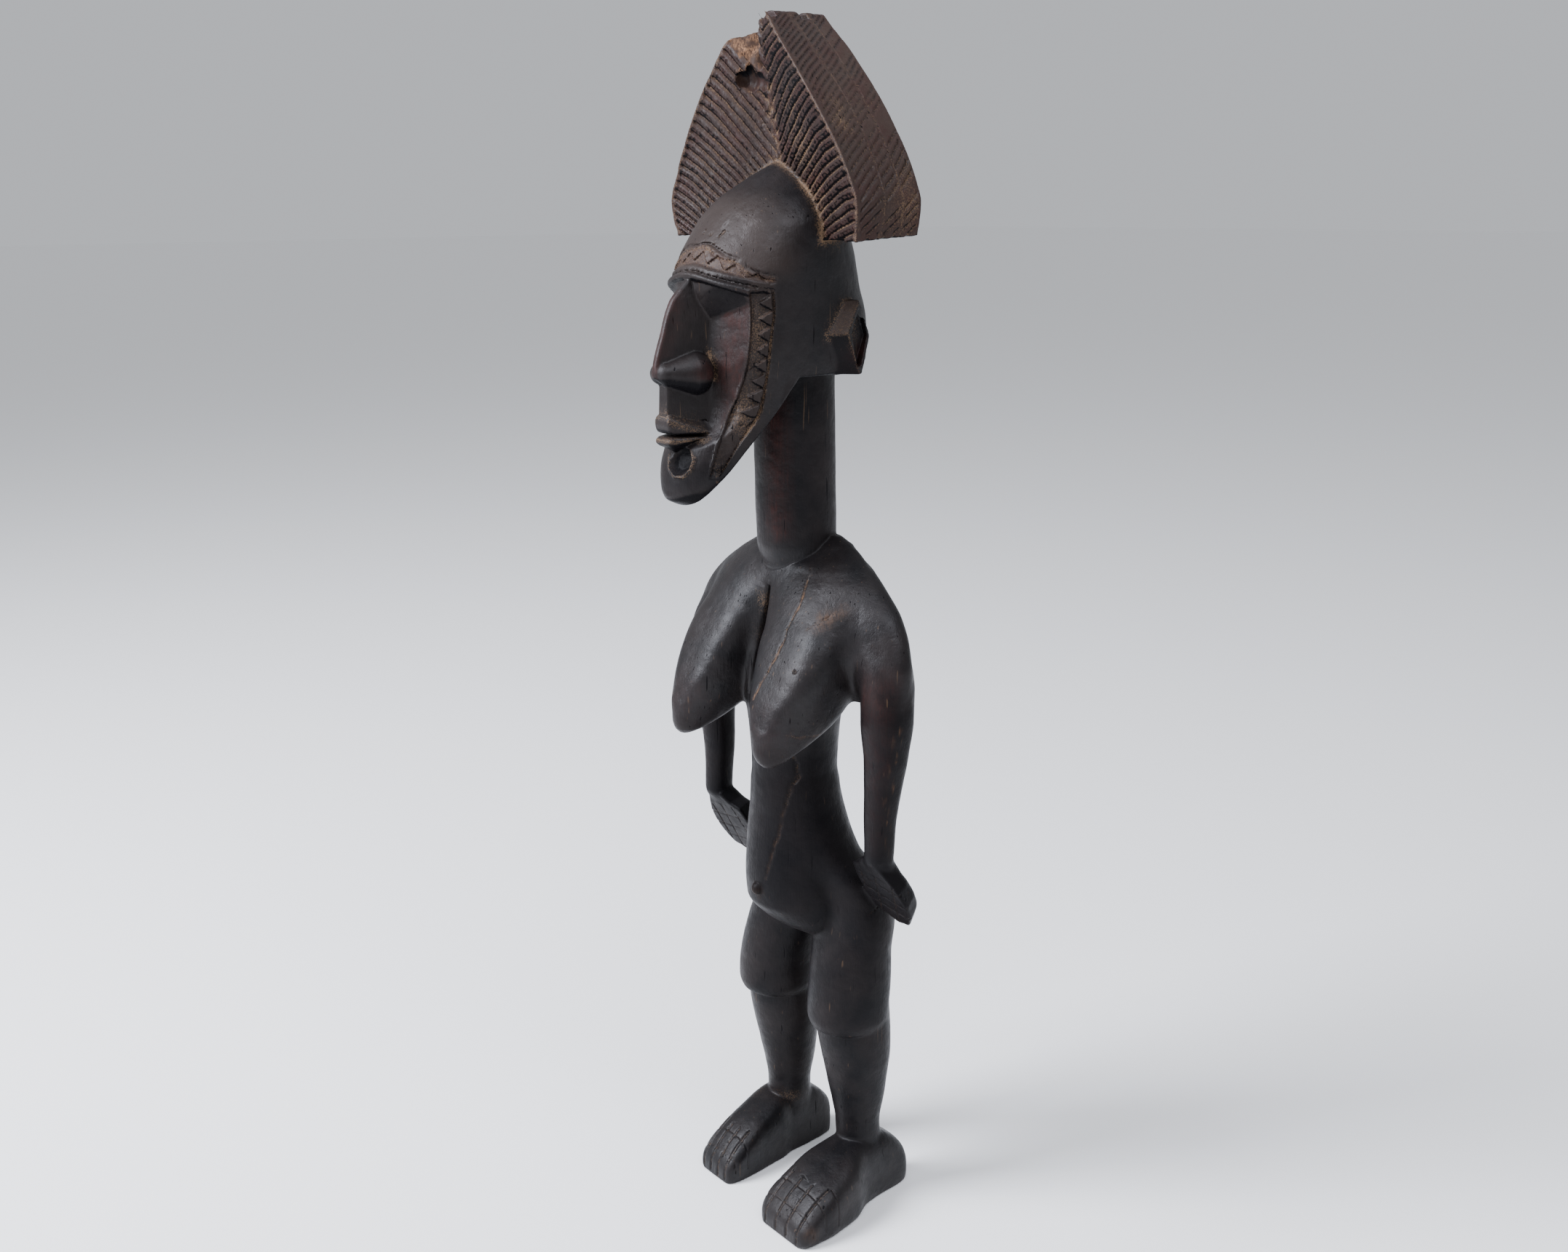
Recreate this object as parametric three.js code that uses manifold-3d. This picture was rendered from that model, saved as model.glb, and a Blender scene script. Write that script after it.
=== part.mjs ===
// A standing female power figure, carved from one block of dark hardwood.
// Millimetres, +Z up. The figure faces -Y and its own left side is +X.
// The origin is the middle of the bounding box, on the floor under the feet.
import * as THREE from 'three';
import { mergeVertices } from 'three/addons/utils/BufferGeometryUtils.js';
import Module from 'manifold-3d';

const wasm = await Module();
wasm.setup();

// Driving heights, from the floor up.
const ANKLE = 45;
const KNEE = 130;
const HIP = 205;
const WAIST = 285;
const ARMPIT = 368;
const SHOULDER = 452;
const CHIN = 477;
const JAW = 549;
const BROW = 601;
const DOME_TOP = 668;
const CREST_FOOT = 629;
const CREST_TOP = 751;

// Places across and along the figure.
const LEG_X = 36;
const HAND_X = 83;
const BREAST_X = 43;
const NOSE_Y = -117;
const LIP_Y = -116;
const NECK_RADIUS = 25;
const RIM_FRONT = -41;
const RIM_BACK = 6;

// Carved lines.
const GROOVE_WIDTH = 2.2;
const GROOVE_DEPTH = 1.3;
const CREST_GROOVES = 22;

// Smooth value between stations that never overshoots: slopes are harmonic means.
function smooth(xs, ys, x) {
  const last = xs.length - 1;
  let i = 0;
  while (i < last - 1 && x > xs[i + 1]) i += 1;
  const rise = (k) => (ys[k + 1] - ys[k]) / (xs[k + 1] - xs[k]);
  const slope = (k) => {
    if (k === 0) return rise(0);
    if (k === last) return rise(last - 1);
    const a = rise(k - 1);
    const b = rise(k);
    return a * b > 0 ? (2 * a * b) / (a + b) : 0;
  };
  const h = xs[i + 1] - xs[i];
  const t = THREE.MathUtils.clamp((x - xs[i]) / h, 0, 1);
  const t2 = t * t;
  const t3 = t2 * t;
  return (2 * t3 - 3 * t2 + 1) * ys[i] + (t3 - 2 * t2 + t) * h * slope(i)
    + (3 * t2 - 2 * t3) * ys[i + 1] + (t3 - t2) * h * slope(i + 1);
}

// The stations of a form, read at one place along it.
function reader(stations) {
  const at = stations.map((row) => row[0]);
  const columns = stations[0].map((_, k) => stations.map((row) => row[k]));
  return (place) => columns.map((column) => smooth(at, column, place));
}

// A closed three.js geometry as a manifold solid.
function solid(geometry) {
  const bare = geometry.index ? geometry.toNonIndexed() : geometry.clone();
  bare.deleteAttribute('normal');
  bare.deleteAttribute('uv');
  const merged = mergeVertices(bare, 1e-4);
  const index = merged.index.array;
  const kept = [];
  for (let i = 0; i < index.length; i += 3) {
    const [a, b, c] = [index[i], index[i + 1], index[i + 2]];
    if (a !== b && b !== c && a !== c) kept.push(a, b, c);
  }
  return new wasm.Manifold(new wasm.Mesh({
    numProp: 3,
    vertProperties: new Float32Array(merged.attributes.position.array),
    triVerts: new Uint32Array(kept),
  }));
}

// A cylinder whose every point is moved by place(t, cos, sin, rim), t from 0 to 1.
function moulded(sides, rings, place) {
  const geometry = new THREE.CylinderGeometry(1, 1, 1, sides, rings);
  const position = geometry.attributes.position;
  for (let i = 0; i < position.count; i += 1) {
    const across = position.getX(i);
    const along = -position.getZ(i);
    const rim = Math.hypot(across, along) > 0.5 ? 1 : 0;
    const point = place(position.getY(i) + 0.5, across, along, rim);
    position.setXYZ(i, point[0], point[1], point[2]);
  }
  return solid(geometry);
}

// How far out a superellipse of this squareness is in direction cos, sin.
function reach(cos, sin, squareness) {
  const sum = Math.abs(cos) ** squareness + Math.abs(sin) ** squareness;
  return sum > 0 ? sum ** (-1 / squareness) : 0;
}

// An upright form. Stations: z, x, y, half width, depth to front, depth to back, squareness.
function upright(stations, sides, steps, side = 1) {
  const read = reader(stations);
  const rings = (stations.length - 1) * steps;
  return moulded(sides, rings, (t, cos, sin, rim) => {
    const k = Math.min(t * (stations.length - 1), stations.length - 1.000001);
    const low = stations[Math.floor(k)][0];
    const high = stations[Math.floor(k) + 1][0];
    const z = low + (high - low) * (k - Math.floor(k));
    const [, x, y, width, front, back, squareness] = read(z);
    const out = rim * reach(cos, sin, squareness);
    return [side * x + width * out * cos, y + (sin < 0 ? front : back) * out * sin, z];
  });
}

// A V-shaped cutter along a line: a three-sided bar with its edge sunk along inward.
function graver(from, to, inward, width = GROOVE_WIDTH, depth = GROOVE_DEPTH) {
  const a = new THREE.Vector3(...from);
  const b = new THREE.Vector3(...to);
  const sunk = new THREE.Vector3(...inward).normalize();
  const across = b.clone().sub(a).cross(sunk).normalize();
  const shape = new THREE.Shape();
  shape.moveTo(0, depth);
  shape.lineTo(-width, -depth);
  shape.lineTo(width, -depth);
  shape.closePath();
  const geometry = new THREE.ExtrudeGeometry(shape, { depth: a.distanceTo(b), bevelEnabled: false });
  const frame = new THREE.Matrix4().makeBasis(across, sunk, b.clone().sub(a).normalize());
  if (frame.determinant() < 0) frame.makeBasis(across.negate(), sunk, b.clone().sub(a).normalize());
  geometry.applyMatrix4(frame);
  geometry.translate(a.x, a.y, a.z);
  return solid(geometry);
}

function joined(pieces) {
  return pieces.reduce((sum, piece) => sum.add(piece));
}

function torso() {
  const trunk = upright([
    [182, 0, -6, 28, 6, 16, 2],
    [190, 0, -8, 36, 17, 24, 2],
    [200, 0, -10, 37, 27, 30, 2],
    [HIP + 7, 0, -12, 36, 34, 34, 2],
    [228, 0, -14, 35, 35, 35, 2],
    [245, 0, -15, 34, 33.5, 32, 2],
    [263, 0, -16, 31, 30.5, 28, 2],
    [WAIST, 0, -17, 27.5, 28, 26, 2],
    [305, 0, -17, 28.5, 28, 26, 2],
    [335, 0, -16, 34, 29, 23, 2.1],
    [355, 0, -16, 42, 30, 20, 2.3],
    [380, 0, -15, 58, 28, 20, 2.5],
    [420, 0, -12, 60, 24, 18, 2.5],
  ], 26, 1);
  const yoke = upright([
    [ARMPIT - 4, 1, -16, 90, 12, 12, 2.2],
    [381, 2.5, -16, 99, 20.5, 19, 2.3],
    [395, 2.5, -14, 97, 24, 20, 2.2],
    [410, 2.5, -12, 88, 26, 19, 2.1],
    [422, 2, -10, 75, 27, 18, 2],
    [433, 2, -8, 59, 25, 15, 1.9],
    [443, 1, -5, 44, 17, 12, 1.8],
    [SHOULDER, 0, -3, 28, 7, 7, 2],
  ], 26, 1);
  const neck = upright([
    [430, 0, -13, 19, 19, 18, 2],
    [446, 0, -14.5, NECK_RADIUS, 25, 24, 2],
    [470, 0, -15.5, NECK_RADIUS, 25, 25, 2],
    [JAW + 20, 0, -17, NECK_RADIUS, 25, 25, 2],
  ], 24, 2);
  const navel = moulded(10, 3, (t, cos, sin, rim) => {
    const swell = rim * 4.5 * Math.sqrt(1 - 0.85 * t * t);
    return [swell * cos, -44 - 8 * t, 222 + swell * sin];
  });
  return joined([trunk, yoke, neck, navel]);
}

function breast(side) {
  return upright([
    [323.5, BREAST_X, -70, 5, 6, 6, 2],
    [326, BREAST_X, -64, 10, 15, 10, 2],
    [333, BREAST_X, -52, 16, 30, 16, 2],
    [344, BREAST_X, -42, 21, 39.5, 20, 2],
    [358, BREAST_X, -36, 25, 42.5, 20, 2],
    [373, 41, -32, 28, 39, 20, 2],
    [391, 39, -28, 30, 29, 18, 2],
    [410, 36, -22, 29, 20, 14, 2],
    [428, 33, -16, 24, 12, 10, 2],
  ], 16, 1, side);
}

function arm(side) {
  return upright([
    [238, HAND_X, -16, 7, 10, 10, 2],
    [262, 82, -19, 8, 9, 9, 2],
    [283, 82, -18.5, 9.5, 9.5, 9.5, 2],
    [311, 85, -18.5, 11.5, 11.5, 11.5, 2],
    [330, 87, -18.5, 13, 13.5, 13.5, 2],
    [349, 88, -18.5, 15.5, 16, 16, 2],
    [ARMPIT, 87, -17, 16, 17, 17, 2],
    [392, 80, -15, 10, 14, 14, 2],
  ], 14, 1, side);
}

// The flat hand laid on the hip, leaning back towards its fingertips, and its three finger cuts.
function hand(side) {
  const inward = side > 0 ? 0 : 4;
  const palm = upright([
    [208, 80 - inward, 3, 4, 6, 6, 2.2],
    [213, 80 - inward, 1, 7, 13, 9, 2.4],
    [224, 79 - inward, -4, 8.5, 19, 15, 2.5],
    [240, 79 - inward, -12, 9, 19.5, 15, 2.5],
    [254, 80 - inward, -18, 9, 17, 13, 2.4],
    [266, 81 - inward / 2, -19, 8.5, 11, 10, 2.2],
  ], 14, 1, side);
  const cuts = [-1, 0, 1].map((finger) => graver(
    [side * 91, -9 + finger * 8.5, 240],
    [side * 90, 2 + finger * 6, 205],
    [-side, 0, 0],
    1.6,
    1.6,
  ));
  return palm.subtract(joined(cuts));
}

function leg(side) {
  return upright([
    [22, LEG_X + 3, 6, 15, 15, 17, 2],
    [ANKLE + 7, LEG_X, 5, 15, 14.5, 15.5, 2],
    [68, LEG_X, 5, 17.5, 17, 18.5, 2],
    [86, LEG_X, 4, 20.5, 20, 22, 2],
    [104, LEG_X, 2, 23.5, 21.5, 26, 2],
    [KNEE - 8, LEG_X, 0, 24.5, 22, 27.5, 2],
    [KNEE - 1, LEG_X, -2, 25, 25.5, 27, 2],
    [KNEE + 6, LEG_X, -3, 26.5, 27, 26, 2],
    [155, LEG_X, -2, 27, 27, 27, 2],
    [178, LEG_X - 1, -1, 27.5, 23, 27, 2],
    [HIP - 5, LEG_X - 2, 0, 28, 18, 30, 2],
    [222, LEG_X - 7, -2, 28, 20, 32, 2],
    [240, LEG_X - 15, -7, 25, 19, 27, 2],
    [258, LEG_X - 24, -12, 18, 13, 18, 2],
  ], 16, 1, side);
}

// The flat foot. Stations from toes to heel: y, x, half width, height, squareness.
function foot(side) {
  const toeX = side > 0 ? 45 : 36;
  const toeWidth = side > 0 ? 25 : 18.5;
  const toeY = side > 0 ? -68 : -63;
  const stations = [
    [toeY, toeX, toeWidth * 0.65, 9, 2.2],
    [toeY + 4, toeX, toeWidth * 0.9, 13, 2.4],
    [toeY + 12, toeX, toeWidth, 16, 2.5],
    [-38, toeX + 0.5, toeWidth * 0.97, 20, 2.5],
    [-18, (toeX + 42) / 2, toeWidth * 0.5 + 8, 28, 2.4],
    [-2, 42, 18.5, 38, 2.3],
    [14, 41, 17.5, 42, 2.3],
    [27, 41, 17, 36, 2.3],
    [36, 41, 14.5, 29, 2.2],
    [42, 41, 9, 18, 2],
  ];
  const read = reader(stations);
  const block = moulded(18, stations.length - 1, (t, cos, sin, rim) => {
    const k = Math.round(t * (stations.length - 1));
    const [y, x, width, height, squareness] = read(stations[k][0]);
    const out = rim * reach(cos, sin, squareness);
    const middle = height * 0.4;
    const z = middle - (sin < 0 ? height - middle : middle * 1.5) * out * sin;
    return [side * x + width * out * cos, y, Math.max(0, z)];
  });
  const cuts = [-1.5, -0.5, 0.5, 1.5].map((toe) => graver(
    [side * (toeX + toe * toeWidth * 0.4), -70, 6],
    [side * (toeX + toe * toeWidth * 0.32), -34, 21],
    [0, 0.3, -1],
    1.6,
    3,
  ));
  return block.subtract(joined(cuts));
}

// The head, from the chin to the top of the dome, without nose, lips and brow.
function head() {
  const block = upright([
    [CHIN, 0, -94, 10, 8, 30, 2],
    [481, 0, -90, 17, 20, 40, 1.9],
    [487, 0, -84, 22, 29, 50, 1.8],
    [494, 0, -78, 26, 34, 60, 1.8],
    [503, 0, -70, 30, 40, 60, 1.8],
    [514, 0, -62, 34, 44, 70, 1.8],
    [530, 0, -55, 39, 44, 72, 2],
    [JAW, 0, -45, 42.5, 42, 58, 2.6],
    [566, 0, -40, 44, 44, 58, 4],
    [583, 0, -38, 44.5, 46, 57, 3.6],
    [BROW - 3, 0, -38, 45, 54, 56, 2.5],
    [BROW + 3, 0, -38, 45.5, 54, 55, 2.4],
    [614, 0, -37, 46, 51, 54, 2.2],
    [633, 0, -34, 46, 42, 45, 2],
    [648, 0, -30, 38, 32, 33, 1.9],
    [660, 0, -27, 22, 17, 24, 1.8],
    [DOME_TOP, 0, -25, 6, 4, 8, 1.8],
  ], 32, 1);
  const underJaw = new THREE.BoxGeometry(120, 200, 100);
  underJaw.translate(0, 100, -50);
  const slope = Math.atan2(JAW - CHIN, 55);
  underJaw.rotateX(slope);
  underJaw.translate(0, -100, CHIN);
  const skull = new THREE.BoxGeometry(120, 200, 100);
  skull.translate(0, 58, JAW + 50);
  const throat = solid(underJaw).subtract(solid(skull));
  return block.subtract(throat);
}

function nose() {
  const wing = (side) => {
    const geometry = new THREE.SphereGeometry(1, 10, 7);
    geometry.scale(5.5, 19, 6.5);
    geometry.rotateX(0.12);
    geometry.translate(side * 6.5, -98, 555.5);
    return solid(geometry);
  };
  const ridge = upright([
    [543, 0, -84, 7, 14, 6, 1.4],
    [548, 0, -82, 10, 31, 8, 1.3],
    [552, 0, -82, 11.5, -NOSE_Y - 82, 8, 1.3],
    [562, 0, -82, 10, 31, 8, 1.25],
    [580, 0, -82, 8, 22, 8, 1.2],
    [BROW + 1, 0, -82, 7, 12, 8, 1.2],
  ], 16, 1);
  return joined([ridge, wing(-1), wing(1)]);
}

function mouth() {
  return upright([
    [505, 0, -92, 11, 8, 8, 1.7],
    [511, 0, -92, 13, 15, 8, 1.7],
    [516, 0, -92, 14.5, -LIP_Y - 93, 8, 1.7],
    [518.5, 0, -92, 14, 18, 8, 1.7],
    [520, 0, -92, 10, 11, 8, 1.7],
    [522.5, 0, -92, 10, 11, 8, 1.7],
    [524, 0, -92, 14, 19, 8, 1.7],
    [527, 0, -92, 15.5, -LIP_Y - 92, 8, 1.7],
    [533, 0, -92, 15, 16, 8, 1.7],
    [540, 0, -92, 11, 3, 8, 1.7],
  ], 16, 1);
}

// The polished roll along the lower edge of the forehead.
function brow() {
  const points = [];
  for (let k = -6; k <= 6; k += 1) {
    const turn = (k / 6) * 1.02;
    const out = reach(Math.sin(turn), Math.cos(turn), 2.5);
    points.push(new THREE.Vector3(
      45 * out * Math.sin(turn),
      -38 - 53 * out * Math.cos(turn),
      BROW + 5 - 12 * (k / 6) ** 2,
    ));
  }
  const section = new THREE.Shape();
  section.absellipse(0, 0, 3.4, 3, 0, Math.PI * 2);
  const geometry = new THREE.ExtrudeGeometry(section, {
    curveSegments: 4,
    steps: 20,
    extrudePath: new THREE.CatmullRomCurve3(points),
  });
  return solid(geometry);
}

// The angular ear: a thick plate on the side of the head, hollowed in the middle.
function ear(side) {
  const outline = (points) => {
    const shape = new THREE.Shape();
    shape.moveTo(points[0][0], points[0][1]);
    points.slice(1).forEach(([y, z]) => shape.lineTo(y, z));
    shape.closePath();
    return shape;
  };
  const plate = (points, depth, out) => {
    const geometry = new THREE.ExtrudeGeometry(outline(points), { depth, bevelEnabled: false });
    geometry.rotateX(Math.PI / 2);
    geometry.rotateZ(Math.PI / 2);
    geometry.translate(side > 0 ? out - depth : -out, 0, 0);
    return solid(geometry);
  };
  const body = plate(
    [[-20, 590], [-7, 592], [1, 574], [-7, 549], [-19, 549], [-14, 568], [-25, 573]],
    14,
    52,
  );
  const hollow = plate([[-9, 583], [-4, 573], [-9, 556], [-12, 556], [-10, 570]], 8, 55);
  return body.subtract(hollow);
}

// The crest's half width at a height, and how far forward its front edge and valley stand.
const nearRim = reader([
  [CREST_FOOT, 83.5],
  [636, 85],
  [646, 86],
  [654, 83.5],
  [675, 72.5],
  [700, 54],
  [727, 29],
  [745, 9],
  [CREST_TOP, 2.5],
]);
const farRim = reader([
  [CREST_FOOT, 83.5],
  [636, 86],
  [646, 86.5],
  [662, 79],
  [697, 57],
  [720, 40],
  [737, 27],
  [CREST_TOP, 12],
]);
const rimOutline = (share, z) => (share < 0 ? farRim(z) : nearRim(z))[1];
const rimForward = reader([[CREST_FOOT, 0], [660, 3], [700, 5], [730, 3], [CREST_TOP, -3]]);
const valleyBack = reader([[CREST_FOOT, 18], [DOME_TOP, 17], [700, 14], [730, 6], [CREST_TOP, 0]]);

function crestFront(share, z) {
  const edge = RIM_FRONT - rimForward(z)[1];
  return edge + valleyBack(z)[1] * (1 - Math.abs(share));
}

function crest() {
  const rows = 14;
  const geometry = new THREE.BoxGeometry(2, 2, 1, 2, 2, rows);
  const position = geometry.attributes.position;
  for (let i = 0; i < position.count; i += 1) {
    const share = position.getX(i);
    const depth = (position.getY(i) + 1) / 2;
    const z = CREST_FOOT + (CREST_TOP - CREST_FOOT) * (position.getZ(i) + 0.5);
    const front = crestFront(share, z);
    position.setXYZ(i, share * rimOutline(share, z), front + (RIM_BACK - front) * depth, z);
  }
  return solid(geometry);
}

// Slanting grooves down each front face, steeper towards the top.
function crestGrooves() {
  const cuts = [];
  for (const side of [-1, 1]) {
    for (let k = 1; k <= CREST_GROOVES; k += 1) {
      const t = k / (CREST_GROOVES + 1);
      const top = CREST_TOP - 4 - (CREST_TOP - 640) * t;
      const slope = 1.05 - 0.6 * t;
      const width = rimOutline(side, top);
      const foot = top - width * slope;
      const end = 0.04;
      const from = [side * width * 1.02, crestFront(1, top), top];
      const to = [side * width * end, crestFront(end, Math.max(foot, CREST_FOOT)), foot];
      cuts.push(graver(from, to, [0, 1, 0]));
    }
  }
  return joined(cuts);
}

// The far tip has broken away, leaving a slanting raw face, and the top edge is worn.
function brokenTip() {
  const chip = new THREE.BoxGeometry(60, 120, 40);
  chip.rotateX(-0.12);
  chip.translate(-33, -18, 758);
  const notch = (y, size) => {
    const geometry = new THREE.CylinderGeometry(size, size, 60, 6);
    geometry.rotateZ(Math.PI / 2);
    geometry.translate(0, y, CREST_TOP + size * 0.25);
    return solid(geometry);
  };
  return joined([solid(chip), notch(-32, 4), notch(-7, 4.5)]);
}

const body = joined([
  torso(),
  head(),
  nose(),
  mouth(),
  brow(),
  crest().subtract(crestGrooves()).subtract(brokenTip()),
  ...[-1, 1].flatMap((side) => [breast(side), arm(side), hand(side), leg(side), foot(side), ear(side)]),
]);

// A manifold solid as a buffer geometry, set so that the origin is under its middle.
function geometryOf(manifold) {
  const mesh = manifold.getMesh();
  const geometry = new THREE.BufferGeometry();
  geometry.setAttribute('position', new THREE.BufferAttribute(new Float32Array(mesh.vertProperties), 3));
  geometry.setIndex(new THREE.BufferAttribute(new Uint32Array(mesh.triVerts), 1));
  geometry.computeBoundingBox();
  const box = geometry.boundingBox;
  geometry.translate(-(box.min.x + box.max.x) / 2, -(box.min.y + box.max.y) / 2, -box.min.z);
  geometry.computeVertexNormals();
  return geometry;
}

const wood = new THREE.MeshStandardMaterial({ color: 0x2a2626, roughness: 0.45, metalness: 0 });
const figure = new THREE.Mesh(geometryOf(body), wood);
figure.name = 'figure';

const group = new THREE.Group();
group.add(figure);
export default group;
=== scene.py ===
import math

import bpy
import numpy as np
from mathutils import Matrix, Vector


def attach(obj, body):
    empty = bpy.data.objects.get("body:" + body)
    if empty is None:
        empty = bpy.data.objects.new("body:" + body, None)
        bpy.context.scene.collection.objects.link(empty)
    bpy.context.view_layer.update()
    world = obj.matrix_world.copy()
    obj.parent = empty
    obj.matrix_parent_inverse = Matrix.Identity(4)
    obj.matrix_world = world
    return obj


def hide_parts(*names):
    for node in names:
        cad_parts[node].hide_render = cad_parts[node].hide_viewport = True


bl_info = {
    "name": "Carved Standing Figure",
    "version": (1, 0, 0),
    "blender": (4, 5, 0),
    "location": "View3D > Sidebar > Figure",
    "description": "A standing figure carved from one log, with its wood, floor, light and camera",
    "category": "Add Mesh",
}

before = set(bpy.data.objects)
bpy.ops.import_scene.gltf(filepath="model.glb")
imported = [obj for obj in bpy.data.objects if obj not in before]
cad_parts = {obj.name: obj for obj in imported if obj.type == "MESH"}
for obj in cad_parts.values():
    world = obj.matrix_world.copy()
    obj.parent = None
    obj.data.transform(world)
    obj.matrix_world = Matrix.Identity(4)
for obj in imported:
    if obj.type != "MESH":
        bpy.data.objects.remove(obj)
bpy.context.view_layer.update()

# The carving is worked out in millimetres, X to the figure's left, Y to its back and Z up.
# Driving heights come first, from the floor up.
ANKLE = 45
KNEE = 130
HIP = 205
WAIST = 285
ARMPIT = 368
SHOULDER = 452
CHIN = 477
JAW = 549
BROW = 601
DOME_TOP = 668
CREST_FOOT = 629
CREST_TOP = 751

LEG_X = 36
BREAST_X = 43
NECK_RADIUS = 25
NOSE_TIP = 118.7
LIPS = 114
HEAD_Y = -38
RIM_FRONT = -41
RIM_BACK = 6

# The axes of the carving stand this far behind the frame's own.
AXIS_Y = 37.5

# The photo is taken from here, turned this many degrees to the side, down and round.
CAMERA_PLACE = (0.7540, -0.5952, 0.6463)
CAMERA_TURNS = (51.154, 14.752, 0.439)
# The photo's width and the focal length are in pixels, the sensor's width in millimetres.
PHOTO_WIDTH = 2156
FOCAL_LENGTH = 2213.2
SENSOR_WIDTH = 36

# The space in which the surface is found, in blocks of this many cells each way.
LOWEST = (-110, -126, -6)
HIGHEST = (110, 48, 757)
BLOCK = 6
# How far a form reaches past its own levels, and the distance where no form is near.
REACH = 14.0
FAR = 60.0


def smooth_column(at, values, places):
    """Values between stations by cubics whose slopes are harmonic means, so nothing overshoots."""
    rise = np.diff(values) / np.diff(at)
    slope = np.concatenate([rise[:1], rise[:-1] * 0, rise[-1:]])
    product = rise[:-1] * rise[1:]
    total = rise[:-1] + rise[1:]
    slope[1:-1] = np.where(product > 0, 2 * product / np.where(total == 0, 1, total), 0)
    k = np.clip(np.searchsorted(at, places) - 1, 0, len(at) - 2)
    h = at[k + 1] - at[k]
    t = np.clip((places - at[k]) / h, 0, 1)
    hermite = (2 * t**3 - 3 * t**2 + 1) * values[k] + (t**3 - 2 * t**2 + t) * h * slope[k]
    return hermite + (3 * t**2 - 2 * t**3) * values[k + 1] + (t**3 - t**2) * h * slope[k + 1]


def reader(stations):
    """The columns of a form's stations, read at any place along it."""
    rows = np.array(stations, float)
    fine = np.linspace(rows[0, 0], rows[-1, 0], 500)
    dense = [smooth_column(rows[:, 0], column, fine) for column in rows.T[1:]]
    return lambda place: [np.interp(place, fine, column) for column in dense]


def union(a, b, blend):
    """The nearer of two solids, filled over a width of blend where they meet."""
    h = np.clip(0.5 + 0.5 * (b - a) / blend, 0, 1)
    return b + (a - b) * h - blend * h * (1 - h)


def within(a, b, blend):
    """What two solids share, with the edge rounded over blend."""
    return -union(-a, -b, blend)


def superellipse(across, along, width, depth, square):
    """Distance, near its line, from a superellipse of these half sizes."""
    u = np.abs(across) / width + 1e-6
    v = np.abs(along) / depth + 1e-6
    us = u ** (square - 1)
    vs = v ** (square - 1)
    total = us * u + vs * v
    ring = total ** (1 / square)
    pull = np.sqrt((us / width) ** 2 + (vs / depth) ** 2) * ring / total
    return (ring - 1) / pull


def loft(stations):
    """A standing form: z, x, y, half width, depth to front, depth to back, squareness."""
    read = reader(stations)
    low, high = stations[0][0], stations[-1][0]
    hop = (high - low) / 500
    def distance(x, y, z):
        cx, cy, width, front, back, square = read(z)
        after = read(z + hop)
        lean = 0.5 * ((after[2] - width) ** 2 + (after[3] - front) ** 2) / hop**2
        along = y - cy
        depth = np.where(along < 0, front, back)
        side = superellipse(x - cx, along, width, depth, square) / np.sqrt(1 + lean)
        return np.maximum(side, np.maximum(low - z, z - high))
    return distance, low, high


def paired(form, inward=((0, 1), (0, 0)), slimmer=((0, 1), (1, 1)), middle=0):
    """A form and its mirror image. The far one may stand further inward and be slimmer."""
    distance, low, high = form
    def both(x, y, z):
        shift = np.where(x < 0, np.interp(z, *inward), 0)
        squeeze = np.where(x < 0, np.interp(z, *slimmer), 1)
        return distance((np.abs(x) + shift - middle) * squeeze + middle, y, z) / squeeze
    return both, low, high


def round_bar(x, y, z, start, end, start_radius, end_radius):
    """Distance from a bar whose radius changes along it."""
    ax, ay, az = start
    dx, dy, dz = end[0] - ax, end[1] - ay, end[2] - az
    t = ((x - ax) * dx + (y - ay) * dy + (z - az) * dz) / (dx * dx + dy * dy + dz * dz)
    t = np.clip(t, 0, 1)
    gap = np.sqrt((x - ax - t * dx) ** 2 + (y - ay - t * dy) ** 2 + (z - az - t * dz) ** 2)
    return gap - start_radius - t * (end_radius - start_radius)


def nearest_side(u, v, sides):
    """Distance in a plane from the nearest of these sides, each given by its two ends."""
    squares = []
    for (au, av), (bu, bv) in sides:
        eu, ev = bu - au, bv - av
        wu, wv = u - au, v - av
        t = np.clip((wu * eu + wv * ev) / (eu * eu + ev * ev), 0, 1)
        squares.append((wu - eu * t) ** 2 + (wv - ev * t) ** 2)
    return np.sqrt(np.minimum.reduce(squares))


def stroke(u, v, points):
    """Distance in a plane from a line through these points."""
    return nearest_side(u, v, zip(points, points[1:]))


def polygon(u, v, points):
    """Signed distance from a closed outline, negative inside."""
    sides = list(zip(points, points[-1:] + points[:-1]))
    sign = np.ones(u.shape)
    for (au, av), (bu, bv) in sides:
        above, below = v >= av, v < bv
        left = (bu - au) * (v - av) > (bv - av) * (u - au)
        flips = (above & below & left) | (~above & ~below & ~left)
        sign = np.where(flips, -sign, sign)
    return sign * nearest_side(u, v, sides)


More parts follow.
